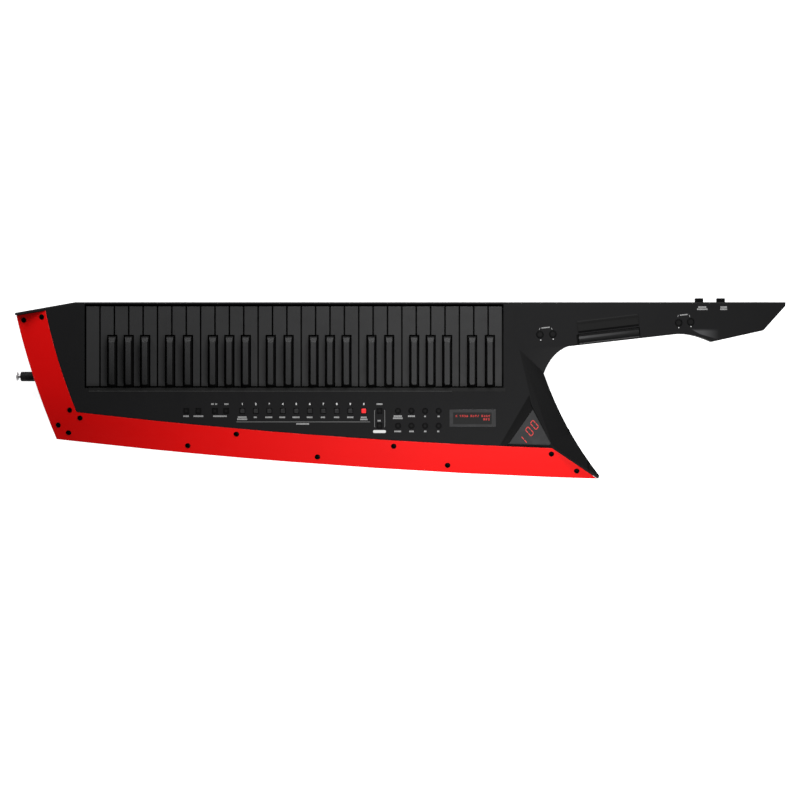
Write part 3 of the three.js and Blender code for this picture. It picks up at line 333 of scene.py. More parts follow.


# The light grey laid on the scooped cheek at the head is a painted highlight.
CHEEK_TIP = (682, 328.8)
CHEEK_END = (719, 331)
CHEEK_RISING = 20 * MM
CHEEK_FADING = 26 * MM
CHEEK_EDGE = 4 * MM
CHEEK_LEVELS = (PANEL_Z - 2.5 * MM, PANEL_Z - 1.5 * MM)
CHEEK_RIM = [((700, 334.3), (684, 329.6)), ((711, 340.3), (700, 334.3))]
CHEEK_HIGHLIGHT = grey(0.058, 0.06)
# The horn and the facet left of the light window are darkened as painted shade.
HORN_LINES = [((533, 409), (519, 349)), ((553, 447), (533, 409)), ((519, 349), (544.5, 373))]
HORN_SHADE = grey(0.0056, 0.0058)
FACET_LINES = [((499.5, 445.5), (527.5, 397.4)), ((519, 349), (533, 409))]
FACET_SHADE = grey(0.0024, 0.0025)
# A black line of painted shade on the case at the modulation bar's left end.
BAR_END_LINES = [
    ((577.1, 346), (576.1, 334.6)),
    ((578.1, 334.4), (579.1, 345.8)),
    ((576, 334.8), (579, 334.4)),
]
BAR_END_SOFTNESS = 0.5 * MM


def shade_case(material):
    """Painted shade on the horn, its facet and the bar's left end, and a painted highlight on the cheek.
    """
    tree = material.node_tree
    x, y, z = place_on_piece(tree)
    tip, end = place(*CHEEK_TIP), place(*CHEEK_END)
    rising = cut(tree, x, tip.x, tip.x + CHEEK_RISING)
    fading = cut(tree, x, end.x, end.x - CHEEK_FADING)
    below = cut(tree, y, tip.y, tip.y - CHEEK_EDGE)
    level = cut(tree, z, *CHEEK_LEVELS)
    cheek = times(tree, rising, fading, below, right_of(tree, x, y, CHEEK_RIM), level)
    # Painted highlight on the scooped cheek
    overlay(material, cheek, CHEEK_HIGHLIGHT)
    # Painted shade on the horn and on the facet beside the light window
    overlay(material, right_of(tree, x, y, HORN_LINES), HORN_SHADE)
    overlay(material, right_of(tree, x, y, FACET_LINES), FACET_SHADE)
    # Painted shade at the bar's left end
    overlay(material, right_of(tree, x, y, BAR_END_LINES, BAR_END_SOFTNESS))


# A deeper red towards the cover's corner is painted shade.
COVER_SHADE_RED = (0.68, 0.003, 0.003, 1)
CORNER_SHADE_FROM = (205, 385)
CORNER_SHADE_TO = (70, 425)


def shade_cover(material):
    """Painted shade: a deeper red round the corner."""
    tree = material.node_tree
    x, y, _ = place_on_piece(tree)
    start, end = place(*CORNER_SHADE_FROM), place(*CORNER_SHADE_TO)
    corner_shade = times(tree, cut(tree, x, start.x, end.x), cut(tree, y, start.y, end.y))
    overlay(material, corner_shade, COVER_SHADE_RED)


# Painted shade on the naturals: dark grey over their last stretch, black beside the gaps.
NATURAL_SHADE_SPAN = (10.6 * MM, 3.6 * MM)
NATURAL_REAR_SHADE = grey(0.015, 0.0152)
NATURAL_LEAN = 0.1
NATURALS = [node for node, slot in SLOTS.items() if slot == "natural_key"]
HALF_KEY_GAP = 0.9 * MM
FIRST_GAP = min(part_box(node)[0].x for node in NATURALS) - HALF_KEY_GAP
LAST_GAP = max(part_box(node)[1].x for node in NATURALS) + HALF_KEY_GAP
KEY_PITCH = (LAST_GAP - FIRST_GAP) / len(NATURALS)
GAP_REACH = 1.5 * MM
GAP_SOFTNESS = 0.2 * MM


def shade_naturals(material):
    """Painted shade beside the gaps, on faces leaning into them, and before the case's edge."""
    tree = material.node_tree
    x, y, _ = place_on_piece(tree)
    overlay(material, cut(tree, y, *NATURAL_SHADE_SPAN), NATURAL_REAR_SHADE)
    # Black beside each gap between naturals, as painted shade
    to_gap = calculate(tree, "PINGPONG", calculate(tree, "SUBTRACT", x, FIRST_GAP), KEY_PITCH / 2)
    overlay(material, cut(tree, to_gap, GAP_REACH, GAP_REACH - GAP_SOFTNESS))
    overlay(material, grouped(tree, GAP_SHADE, "Mask", NATURAL_LEAN))


# Painted shade on the sharps: the nose, and the rear of the keys at the end away from the neck.
SHARP_NOSE = (74.5 * MM, 68.5 * MM)
SHARP_SHADE_SPAN = (84 * MM, 2 * MM)
SHARP_REAR_SHADE = grey(0.0035, 0.0036)
SHARP_LEAN = 0.3
SHADIEST_END = (60, 360)
UNSHADED_END = (440, 360)


def shade_sharps(material):
    """Painted shade on the steep nose, on faces leaning into the gaps, and to the rear away from the
    neck.
    """
    tree = material.node_tree
    x, y, z = place_on_piece(tree)
    # The painted shade at the rear grows towards the end away from the neck.
    end_shade = cut(tree, x, place(*UNSHADED_END).x, place(*SHADIEST_END).x)
    overlay(material, times(tree, cut(tree, y, *SHARP_SHADE_SPAN), end_shade), SHARP_REAR_SHADE)
    overlay(material, cut(tree, z, *SHARP_NOSE))
    overlay(material, grouped(tree, GAP_SHADE, "Mask", SHARP_LEAN))


# Painted light on the bar: a highlight along its crown, shade along its foot and in the gap above.
BAR_GAP = [((640, 329.6), (567, 338.3))]
BAR_CROWN = [((567, 337.5), (640, 329.1)), ((640, 332.5), (567, 340.9))]
BAR_CROWN_SOFTNESS = 1.6 * MM
BAR_HIGHLIGHT_FROM = (634, 331)
BAR_HIGHLIGHT_TO = (582, 338)
BAR_CROWN_HIGHLIGHT = grey(0.017, 0.0174)
BAR_BRIGHTEST_HIGHLIGHT = grey(0.055, 0.056)
BAR_FOOT = (PANEL_Z - 0.2 * MM, PANEL_Z - 1.4 * MM)
BAR_FOOT_SHADE = grey(0.004, 0.0042)


def shade_bar(material):
    """A painted highlight along its crown; painted shade under the dark strip above it and along its
    front.
    """
    tree = material.node_tree
    x, y, z = place_on_piece(tree)
    crown = right_of(tree, x, y, BAR_CROWN, BAR_CROWN_SOFTNESS)
    # This share makes the painted highlight brighter towards the bar's left end.
    rubbed = cut(tree, x, place(*BAR_HIGHLIGHT_FROM).x, place(*BAR_HIGHLIGHT_TO).x)
    overlay(material, crown, BAR_CROWN_HIGHLIGHT)
    overlay(material, times(tree, crown, rubbed), BAR_BRIGHTEST_HIGHLIGHT)
    overlay(material, cut(tree, z, *BAR_FOOT), BAR_FOOT_SHADE)
    overlay(material, right_of(tree, x, y, BAR_GAP))


def trim_finish(name, level):
    """A fine-grained trim whose edges are twice as light."""
    return moulded_finish(name, grey(level), grey(2 * level), (0.5, 0.6), 2000, 0.01 * MM, 0.1)


def tint(tree, shader, share, first, second):
    wire(tree, shader.inputs["Base Color"], colour_between(tree, share, first, second))


SMOKE = grey(0.038, 0.039)
SMEARED_SMOKE = grey(0.045, 0.046)
SMEARS_PER_METRE = 60
WINDOW_ROUGHNESS = (0.12, 0.2)
RIPPLES_PER_METRE = 260
RIPPLE_DEPTH = 0.006 * MM


def smoked_finish():
    """The tinted window: glossy, with a fine orange-peel surface."""
    material, tree, shader = empty_finish("smoked window")
    marks = grouped(tree, HANDLING, "Mask", SMEARS_PER_METRE)
    tint(tree, shader, marks, SMOKE, SMEARED_SMOKE)
    wire(tree, shader.inputs["Roughness"], spread(tree, marks, *WINDOW_ROUGHNESS))
    raise_surface(tree, shader, grouped(tree, GRAIN, "Height", RIPPLES_PER_METRE), RIPPLE_DEPTH)
    return material


STEEL_BRIGHT = grey(0.82, 0.83)
STEEL_DULL = grey(0.66, 0.67)
TOUCHES_PER_METRE = 90
RING_STRETCH = (9000, 300, 300)
RING_ROUGHNESS = (0.36, 0.5)
RING_DEPTH = 0.01 * MM


def steel_finish():
    """Turned metal: rings round the axis as fine roughness and bump."""
    material, tree, shader = empty_finish("turned steel")
    sockets = {0: scaled_place(tree, 1.0), 1: RING_STRETCH}
    stretched = add_node(tree, "ShaderNodeVectorMath", sockets, operation="MULTIPLY")
    rings = noise(tree, stretched.outputs[0], 5.0, 2.0)
    touched = grouped(tree, HANDLING, "Mask", TOUCHES_PER_METRE)
    tint(tree, shader, touched, STEEL_BRIGHT, STEEL_DULL)
    shader.inputs["Metallic"].default_value = 1
    wire(tree, shader.inputs["Roughness"], spread(tree, rings, *RING_ROUGHNESS))
    raise_surface(tree, shader, rings, RING_DEPTH)
    return material


INK_THINNEST = 0.8
INK_GRAINS = 3200
INK_ROUGHNESS = (0.5, 0.6)


def ink_finish(name, level):
    """Screen-printed ink with slightly uneven cover."""
    material, tree, shader = empty_finish(name)
    tone = grouped(tree, GRAIN, "Height", INK_GRAINS)
    tint(tree, shader, tone, grey(level), dimmed(grey(level), INK_THINNEST))
    wire(tree, shader.inputs["Roughness"], spread(tree, tone, *INK_ROUGHNESS))
    return material


LAMP_RED = (0.2, 0.004, 0.004, 1)
LAMP_FAINTEST = 0.85
LAMP_GRAINS = 1500
LAMP_ROUGHNESS = (0.25, 0.4)


def lamp_finish(name, glow, strength):
    """A lit red segment or lens, whose glow varies a little from place to place."""
    material, tree, shader = empty_finish(name)
    tone = grouped(tree, GRAIN, "Tone", LAMP_GRAINS)
    shader.inputs["Base Color"].default_value = LAMP_RED
    glowing = colour_between(tree, tone, dimmed(glow, LAMP_FAINTEST), glow)
    wire(tree, shader.inputs["Emission Color"], glowing)
    shader.inputs["Emission Strength"].default_value = strength
    wire(tree, shader.inputs["Roughness"], spread(tree, tone, *LAMP_ROUGHNESS))
    return material


# Name, colour, edge colour, roughness, grains per metre, grain depth, specular level and dust
MOULDED = {
    "case": (
        "case moulding", grey(0.0098, 0.0102), grey(0.022, 0.023),
        (0.5, 0.6), 1500, 0.03 * MM, 0.08,
    ),
    # The cover's lighter edge colour is partly wear and partly a painted highlight along its edges.
    "cover": (
        "red cover", (0.9, 0.004, 0.004, 1), (0.94, 0.07, 0.064, 1),
        (0.42, 0.5), 2600, 0.006 * MM, 0.12, 0.05,
    ),
    "natural_key": (
        "natural key", grey(0.028, 0.0285), grey(0.052, 0.053),
        (0.38, 0.48), 2400, 0.014 * MM, 0.25, 0.15,
    ),
    "sharp_key": (
        "sharp key", grey(0.031, 0.0315), grey(0.044, 0.045),
        (0.4, 0.5), 1700, 0.03 * MM, 0.22, 0.15,
    ),
    "bar": (
        "bar moulding", grey(0.0092, 0.0094), grey(0.018, 0.0185),
        (0.4, 0.5), 2000, 0.02 * MM, 0.05,
    ),
    "rear": (
        "rear moulding", grey(0.01, 0.0105), grey(0.014, 0.0145),
        (0.55, 0.66), 1100, 0.06 * MM, 0.14,
    ),
    "rubber": (
        "button rubber", grey(0.0016, 0.0017), grey(0.007, 0.0072),
        (0.6, 0.75), 2200, 0.02 * MM, 0.1,
    ),
    "lens": ("lamp lens", grey(0.022, 0.0225), grey(0.05), (0.3, 0.4), 900, 0.02 * MM, 0.25),
    # A black rubber for strips of painted shade.
    "seal": (
        "seal rubber", grey(0.0022, 0.0023), grey(0.006, 0.0062),
        (0.3, 0.36), 1500, 0.01 * MM, 0.1,
    ),
    "bed": ("key bed moulding", grey(0.004), grey(0.008), (0.6, 0.7), 900, 0.05 * MM, 0.5),
    "black_steel": ("blackened steel", grey(0.0006), grey(0.001), (0.4, 0.5), 3000, 0.01 * MM, 0.03, 0),
}
TRIM_GREYS = {
    # The opening trim's grey, lighter than the case, is painted light on the lit rim beside the keys.
    "trim": ("opening trim", 0.0125),
    # The bead's light grey is a painted highlight.
    "bead": ("trim bead", 0.04),
    # The ribbon edge's grey is a painted highlight.
    "ribbon_edge": ("ribbon edge", 0.0155),
    # The cap faces' grey also serves the ribbon's dark lines of painted shade.
    "cap_face": ("rubbed cap face", 0.0065),
    "collar": ("collar moulding", 0.018),
    "display_glass": ("display glass", 0.016),
    "ribbon": ("ribbon strip", 0.0085),
}
INK_GREYS = {
    "white_ink": ("white ink", 0.62),
    "label_ink": ("label ink", 0.34),
    "grey_ink": ("grey ink", 0.17),
}

FINISHES = {
    "smoked": smoked_finish(),
    "steel": steel_finish(),
    "lit": lamp_finish("lit red lens", (0.86, 0.025, 0.03, 1), 1.0),
    "segments": lamp_finish("red segments", (0.66, 0.06, 0.055, 1), 0.85),
}
for maker, table in ((moulded_finish, MOULDED), (trim_finish, TRIM_GREYS), (ink_finish, INK_GREYS)):
    for finish, values in table.items():
        FINISHES[finish] = maker(*values)
shade_case(FINISHES["case"])
shade_cover(FINISHES["cover"])
shade_naturals(FINISHES["natural_key"])
shade_sharps(FINISHES["sharp_key"])
shade_bar(FINISHES["bar"])


# Mesh helpers


def put_in_scene(name, data):
    made = bpy.data.objects.new(name, data)
    bpy.context.scene.collection.objects.link(made)
    return made


def mesh_from(form, name):
    mesh = bpy.data.meshes.new(name)
    form.to_mesh(mesh)
    form.free()
    return mesh


def solid_form(node):
    form = bmesh.new()
    form.from_mesh(frame["nodes"][node].data)
    return form


def loft(form, rings, matrix=Matrix()):
    """A closed skin through rings of as many points, with flat ends."""
    made = [[form.verts.new(matrix @ Vector(point)) for point in ring] for ring in rings]
    for lower, upper in zip(made, made[1:]):
        for i in range(len(lower)):
            j = (i + 1) % len(lower)
            form.faces.new((lower[i], lower[j], upper[j], upper[i]))
    form.faces.new(list(reversed(made[0])))
    form.faces.new(made[-1])


def ring(radius, z, steps, corner=None):
    """A round ring, or where a corner's radius is given a square one of that half width."""
    points = []
    for i in range(steps):
        angle = 2 * math.pi * (i + 0.5) / steps
        point = Vector((math.cos(angle), math.sin(angle)))
        if corner is None:
            point *= radius
        else:
            point *= radius / max(abs(point.x), abs(point.y))
            inner = radius - corner
            core = Vector([max(-inner, min(inner, value)) for value in point])
            out = point - core
            if out.length > 0:
                point = core + out.normalized() * corner
        points.append((*point, z))
    return points


def turned(form, profile, steps, matrix=Matrix()):
    """A closed turned form about its own Z, from [radius, height] points, bottom to top."""
    loft(form, [ring(radius, height, steps) for radius, height in profile], matrix)


def slab(form, low, high, matrix=Matrix()):
    """A block between its lowest and highest corners."""
    corners = [(low[0], low[1]), (high[0], low[1]), (high[0], high[1]), (low[0], high[1])]
    loft(form, [[(x, y, z) for x, y in corners] for z in (low[2], high[2])], matrix)


def piece_from(form, name, body, finish, round_edges=None):
    """One piece from a finished bmesh: smooth faces, sharp creases, riding on its body."""
    bmesh.ops.recalc_face_normals(form, faces=form.faces)
    mesh = mesh_from(form, name)
    piece = put_in_scene(name, mesh)
    mesh.materials.append(FINISHES[finish])
    smooth(mesh)
    if round_edges:
        bevel(piece, round_edges, 2)
    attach(piece, body)
    return piece


def case_slab(name, finish, slot, low, high, round_edges=None, matrix=Matrix()):
    """A block that is a piece of its own on the case."""
    form = bmesh.new()
    slab(form, low, high, matrix)
    piece_from(form, name, "case", finish, round_edges)


def smooth(mesh):
    mesh.polygons.foreach_set("use_smooth", [True] * len(mesh.polygons))
    mesh.set_sharp_from_angle(angle=SHARP_ANGLE)


def bevel(piece, width, segments):
    made = piece.modifiers.new("edges", "BEVEL")
    made.width = width
    made.segments = segments
    made.limit_method = "ANGLE"
    made.angle_limit = ROUND_ANGLE
    made.miter_outer = "MITER_ARC"
    made.use_clamp_overlap = True
    made.material = 1


def turn_along(start, end):
    """A matrix that lays X along a line from its start."""
    along = end - start
    return Matrix.Translation(start) @ Matrix.Rotation(math.atan2(along.y, along.x), 4, "Z")


# Mouldings: finished copies of the solid parts

# Each node's finish and the width of its rounded edges
CASE_MOULDINGS = {
    "front_case": ("case", 0.7 * MM),
    "rear_case": ("rear", 1.2 * MM),
    "edge_cover": ("cover", 0.8 * MM),
    "light_window": ("smoked", 0.4 * MM),
    "modulation_bar": ("bar", 0.8 * MM),
}
KEY_EDGES = {"natural_key": 1.2 * MM, "sharp_key": 1.0 * MM}
THUMB_EDGE = 0.9 * MM
THUMB_SEGMENTS = 4
LEAN_START = 12 * MM
REAR_LEAN = {"natural_key": (66 * MM, 1.5 * MM), "sharp_key": (69 * MM, 2.6 * MM)}


def lean_rear(form, above, lean):
    """Leans a key's rear end forwards above a height, as the case's edge hides its foot."""
    rear = min(vert.co.y for vert in form.verts if vert.co.z > above)
    squeeze = (LEAN_START - rear - lean) / (LEAN_START - rear)
    for vert in form.verts:
        if vert.co.z > above and vert.co.y < LEAN_START:
            vert.co.y = LEAN_START - (LEAN_START - vert.co.y) * squeeze


def moulding(node, finish, width, segments=3):
    """A copy of a solid part with its flat faces joined and its edges to be rounded."""
    form = solid_form(node)
    bmesh.ops.remove_doubles(form, verts=form.verts, dist=WELD)
    bmesh.ops.dissolve_limit(form, angle_limit=FLAT_ANGLE, verts=form.verts, edges=form.edges)
    bmesh.ops.triangulate(form, faces=[face for face in form.faces if len(face.verts) > 4])
    if SLOTS[node] in REAR_LEAN:
        lean_rear(form, *REAR_LEAN[SLOTS[node]])
    mesh = mesh_from(form, f"{node}_moulding")
    mesh.materials.clear()
    for _ in range(2):
        mesh.materials.append(FINISHES[finish])
    mesh.polygons.foreach_set("use_smooth", [True] * len(mesh.polygons))
    mesh.polygons.foreach_set("material_index", [0] * len(mesh.polygons))
    piece = put_in_scene(f"{node}_moulding", mesh)
    bevel(piece, width, segments)
    piece["node"] = node
    return piece


def settle(pieces):
    """Keeps the rounded edges as real faces, marked for the edge wear, and evens out the shading."""
    graph = bpy.context.evaluated_depsgraph_get()
    finished = [bpy.data.meshes.new_from_object(piece.evaluated_get(graph)) for piece in pieces]
    for piece, mesh in zip(pieces, finished):
        piece.modifiers.clear()
        piece.data = mesh
        edges = [0] * len(mesh.polygons)
        mesh.polygons.foreach_get("material_index", edges)
        mesh.attributes.new("edge", "FLOAT", "FACE").data.foreach_set("value", [float(i) for i in edges])
        mesh.polygons.foreach_set("material_index", [0] * len(edges))
        mesh.materials.pop()
        smooth(mesh)
        even = piece.modifiers.new("even shading", "WEIGHTED_NORMAL")
        even.keep_sharp = True
        node = piece["node"]
        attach(piece, frame["nodes"][node]["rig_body"])
        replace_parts(piece, node)


def make_mouldings():
    pieces = [moulding(node, *values) for node, values in CASE_MOULDINGS.items()]
    for node in frame["nodes"]:
        slot = SLOTS[node]
        if slot in KEY_EDGES:
            pieces.append(moulding(node, slot, KEY_EDGES[slot]))
    settle(pieces)
    bed = frame["nodes"]["key_chassis"]
    bed.data.materials.clear()
    bed.data.materials.append(FINISHES["bed"])


# Trim along the rear edge of the key opening

TRIM = (88.4, 387.7, 505.4, 391.6)
BEAD_END = 452
TRIM_RISE = 0.25 * MM
TRIM_DEPTH = 0.4 * MM
TRIM_EDGE = 0.15 * MM
BEAD_WIDTH = 1.1 * MM
BEAD_RISE = 0.45 * MM
BEAD_EDGE = 0.2 * MM


def make_opening_trim():
    """A flat strip beside the keys in a grey of painted light, and a bead along its outer edge in a
    painted highlight.
    """
    low, high = framed(TRIM)
    foot = (low.x, low.y, PANEL_Z - TRIM_DEPTH)
    case_slab("opening_trim", "trim", "case", foot, (high.x, high.y, PANEL_Z + TRIM_RISE), TRIM_EDGE)
    bead_top = (place(BEAD_END, TRIM[1]).x, low.y + BEAD_WIDTH, PANEL_Z + BEAD_RISE)
    case_slab("trim_bead", "bead", "case", foot, bead_top, BEAD_EDGE)


# Buttons

LOOKS_UP = 0.99
LEVEL = 0.1 * MM


def cap_tops(node):
    """Each cap of a keypad, as its top's centre, half width and number of sides, from left to right."""
    form = solid_form(node)
    bmesh.ops.remove_doubles(form, verts=form.verts, dist=WELD)
    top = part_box(node)[1].z
    upward = [face for face in form.faces if face.normal.z > LOOKS_UP]
    left = {face for face in upward if top - face.calc_center_median().z < LEVEL}
    caps = []
    while left:
        stack = [left.pop()]
        verts = set()
        while stack:
            face = stack.pop()
            verts.update(face.verts)
            for edge in face.edges:
                for other in edge.link_faces:
                    if other in left:
                        left.remove(other)
                        stack.append(other)
        low = Vector([min(vert.co[i] for vert in verts) for i in range(3)])
        high = Vector([max(vert.co[i] for vert in verts) for i in range(3)])
        caps.append(((low + high) / 2, (high.x - low.x) / 2, len(verts)))
    form.free()
    return sorted(caps, key=lambda entry: (round(entry[0].y / MM), entry[0].x))


CAP_STEPS = 40
CAP_FOOT = 3.6 * MM
CAP_ROUND = 0.5 * MM
CAP_DISH = 0.22 * MM
CAP_CORNER = 1.3 * MM
CAP_LEAST_CORNER = 0.3 * MM
CAP_FACE_SHARE = 0.62
CAP_FACE_RISE = 0.05 * MM


def cap(form, centre, half, square):
    """A dished cap with a rounded rim."""
    steps = [
        (0, -CAP_FOOT),
        (0, -CAP_ROUND),
        (CAP_ROUND * 0.12, -CAP_ROUND * 0.5),
        (CAP_ROUND * 0.4, -CAP_ROUND * 0.16),
        (CAP_ROUND, 0),
        (half * 0.35, -CAP_DISH * 0.5),
        (half * 0.7, -CAP_DISH),
    ]
    rings = []
    for inset, z in steps:
        corner = max(CAP_CORNER - inset, CAP_LEAST_CORNER) if square else None
        rings.append(ring(half - inset, z, CAP_STEPS, corner))
    loft(form, rings, Matrix.Translation(centre))


def cap_face(form, centre, radius):
    """The middle of a cap's dish, where fingers rub it."""
    floor = Matrix.Translation(centre - Vector((0, 0, CAP_DISH)))
    turned(form, [(radius, -CAP_ROUND / 2), (radius, CAP_FACE_RISE)], CAP_STEPS, floor)


TONE_CAPS = 10
CORNERS_OF_SQUARE = 4
LENS_LIFT = Vector((0, 0, 0.1 * MM))
LENS_SHARE = 0.84
LIT_SHARE = 0.92
MAT_MARGIN = Vector((8 * MM, 7 * MM))
MAT_THICKNESS = 1.2 * MM


def tone_row(caps):
    """The ten tone buttons among the keypad's caps, from left to right."""
    upper = max(centre.y for centre, _, _ in caps)
    squares = [entry for entry in caps if entry[2] <= CORNERS_OF_SQUARE and upper - entry[0].y < MM]
    squares.sort(key=lambda entry: entry[0].x)
    return squares[-TONE_CAPS - 1 : -1]


def make_panel_buttons():
    """The rubber keypad with its caps, their rubbed faces, and the lenses of the tone buttons."""
    caps = cap_tops("panel_buttons")
    lenses = tone_row(caps)
    form = bmesh.new()
    faces = bmesh.new()
    for centre, half, sides in caps:
        cap(form, centre, half, sides <= CORNERS_OF_SQUARE)
        if not any(centre is entry[0] for entry in lenses):
            cap_face(faces, centre, half * CAP_FACE_SHARE)
    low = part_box("panel_buttons")[0].z
    for row in sorted({round(centre.y, 4) for centre, _, _ in caps}):
        xs = [centre.x for centre, _, _ in caps if round(centre.y, 4) == row]
        near = (min(xs) - MAT_MARGIN.x, row - MAT_MARGIN.y, low)
        far = (max(xs) + MAT_MARGIN.x, row + MAT_MARGIN.y, low + MAT_THICKNESS)
        slab(form, near, far)
    keypad = piece_from(form, "panel_keypad", "panel_buttons", "rubber")
    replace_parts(keypad, "panel_buttons")
    piece_from(faces, "cap_faces", "panel_buttons", "cap_face")
    form = bmesh.new()
    for centre, half, _ in lenses[:-1]:
        cap(form, centre + LENS_LIFT, half * LENS_SHARE, True)
    piece_from(form, "tone_lenses", "panel_buttons", "lens")
    form = bmesh.new()
    centre, half, _ = lenses[-1]
    cap(form, centre + LENS_LIFT, half * LIT_SHARE, True)
    piece_from(form, "lit_lens", "panel_buttons", "lit")
    return caps


HAND_FOOT = 4.4 * MM
HAND_ROUND = 0.9 * MM
HAND_ROUND_STEPS = 4
HAND_CROWN = [(0.55, 0.02 * MM), (0.2, -0.12 * MM)]
HAND_MAT_THICKNESS = 1.4 * MM


def make_hand_buttons(node):
    """A pair of domed round buttons on their shared mat, and the rubbed middles of their tops."""
    form = bmesh.new()
    faces = bmesh.new()
    for centre, half, _ in cap_tops(node):
        dome = [(half, -HAND_FOOT)]
        for i in range(HAND_ROUND_STEPS + 1):
            angle = math.pi / 2 * i / HAND_ROUND_STEPS
            inset = HAND_ROUND * (1 - math.cos(angle))
            dome.append((half - inset, HAND_ROUND * (math.sin(angle) - 1)))
        dome += [(half * share, height) for share, height in HAND_CROWN]
        turned(form, dome, CAP_STEPS, Matrix.Translation(centre))
        cap_face(faces, centre + Vector((0, 0, CAP_DISH)), half * CAP_FACE_SHARE)
    low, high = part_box(node)
    slab(form, low, (high.x, high.y, low.z + HAND_MAT_THICKNESS))
    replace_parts(piece_from(form, f"{node}_pair", node, "rubber"), node)
    piece_from(faces, f"{node}_faces", node, "cap_face")


# Strap pin on the case's end

# Shares of the pin's radius, and heights from its outer end
PIN_HEAD = [
    *[(0.3, 0), (0.62, 0.05 * MM), (0.86, 0.5 * MM), (0.97, 1.2 * MM), (1, 2.0 * MM)],
    *[(0.97, 3.0 * MM), (0.8, 3.9 * MM), (0.44, 4.5 * MM), (0.42, 7.6 * MM)],
]
PIN_COLLAR = [(0.44, 7.4 * MM), (0.72, 7.4 * MM), (0.9, 7.9 * MM), (1, 9.2 * MM)]
COLLAR_SEAT = 12 * MM
PIN_STEPS = 64


def make_end_pin():
    """A turned metal head on its neck, and the black collar that it is screwed into."""
    low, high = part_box("end_strap_pin")
    radius = (high.y - low.y) / 2
    length = high.x - low.x
    axis = Matrix.Translation((low.x, (low.y + high.y) / 2, (low.z + high.z) / 2))
    axis = axis @ Matrix.Rotation(math.pi / 2, 4, "Y")
    form = bmesh.new()
    turned(form, [(radius * share, height) for share, height in PIN_HEAD], PIN_STEPS, axis)
    piece_from(form, "end_pin_head", "case", "steel")
    form = bmesh.new()
    profile = PIN_COLLAR + [(1, length - COLLAR_SEAT), (1, length)]
    turned(form, [(radius * share, height) for share, height in profile], PIN_STEPS, axis)
    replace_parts(piece_from(form, "end_pin_collar", "case", "collar"), "end_strap_pin")


# Screws

SCREW_RADIUS = 4.5 * MM
SCREW_RISE = 1.5 * MM
SCREW_FOOT = 0.5 * MM
SCREW_RIM = 0.1 * MM
SCREW_ANGLES = [math.radians(degrees) for degrees in (15, 30, 45, 60)]
SOCKET_RADIUS = 1.5 * MM
SOCKET_DEPTH = 1.3 * MM
SOCKET_TAPER = 0.97
SCREW_STEPS = 36
SOCKET_SIDES = 6
COVER_SCREWS = [
    (23.9, 320.2),
    (41.7, 317),
    (69.6, 410.1),
    (80, 418),
    (58.3, 425),
    (68.6, 432.7),
    (187.8, 445.7),
    (236.4, 434.1),
    (317.5, 456.9),
    (393.7, 446.2),
    (447.6, 465.3),
    (551.4, 454),
    (576.7, 471),
]


def hexagon(radius, z):
    """A six-sided ring with as many points as the screw's round rings."""
    points = []
    sector = 2 * math.pi / SOCKET_SIDES
    for i in range(SCREW_STEPS):
        angle = 2 * math.pi * (i + 0.5) / SCREW_STEPS
        reach = radius * math.cos(sector / 2) / math.cos(angle % sector - sector / 2)
        points.append((reach * math.cos(angle), reach * math.sin(angle), z))
    return points


def screw(form, matrix):
    """A button-head screw with a six-sided socket."""
    profile = [(SCREW_RADIUS, -SCREW_FOOT), (SCREW_RADIUS, SCREW_RIM)]
    for angle in SCREW_ANGLES:
        height = SCREW_RIM + (SCREW_RISE - SCREW_RIM) * math.sin(angle)
        profile.append((SCREW_RADIUS * math.cos(angle), height))
    rings = [ring(radius, z, SCREW_STEPS) for radius, z in profile]
    rings.append(hexagon(SOCKET_RADIUS, SCREW_RISE))
    rings.append(hexagon(SOCKET_RADIUS * SOCKET_TAPER, SCREW_RISE - SOCKET_DEPTH))
    loft(form, rings, matrix)


def make_cover_screws():
    """Each screw where the line from the camera to its pixel meets the cover."""
    cover = solid_form("edge_cover")
    surface = BVHTree.FromBMesh(cover)
    cover.free()
    form = bmesh.new()
    for column, row in COVER_SCREWS:
        ray = (place(column, row) - CAMERA_PLACE).normalized()
        where, normal, _, _ = surface.ray_cast(CAMERA_PLACE, ray)
        turn = normal.to_track_quat("Z", "Y").to_matrix().to_4x4()
        screw(form, Matrix.Translation(where) @ turn)
    piece_from(form, "cover_screws", "case", "black_steel")


# Prints on the panel and the neck

LABEL_HEIGHT = 2.5 * MM
LABEL_LEADING = 3.4 * MM
FIRST_LINE_SHARE = 0.86
STROKE = 0.75 * MM
LETTER_WIDTHS = (1.1 * MM, 1.7 * MM)
LETTER_GAP = 0.5 * MM
DOT_RADIUS = 0.9 * MM
DOT_STEPS = 20
INK_FOOT = INK_RISE - INK_THICKNESS


def ink_slab(form, x0, y0, x1, y1, matrix):
    slab(form, (x0, y0, INK_FOOT), (x1, y1, INK_RISE), matrix)


def label(form, column, row, width, lines=1, turn=0.0, height=LABEL_HEIGHT):
    """Rows of small blocks that spell nothing, in a label's place. Its width is in pixels."""
    base = Matrix.Translation(place(column, row)) @ Matrix.Rotation(turn, 4, "Z")
    for line in range(lines):
        half = width * PIXEL / 2 * (1.0 if line % 2 else FIRST_LINE_SHARE)
        shift = ((lines - 1) / 2 - line) * LABEL_LEADING
        matrix = base @ Matrix.Translation((0, shift, 0))
        x = -half
        while x < half - LETTER_WIDTHS[0] / 2:
            letter = min(random.uniform(*LETTER_WIDTHS), half - x)
            ink_slab(form, x, -height / 2, x + letter, height / 2, matrix)
            x += letter + LETTER_GAP


def stroke(form, start, end, width=STROKE):
    """A straight printed line between two points at the panel's height."""
    ink_slab(form, 0, -width / 2, (end - start).length, width / 2, turn_along(start, end))


def dot(form, column, row):
    profile = [(DOT_RADIUS, INK_FOOT), (DOT_RADIUS, INK_RISE)]
    turned(form, profile, DOT_STEPS, Matrix.Translation(place(column, row)))


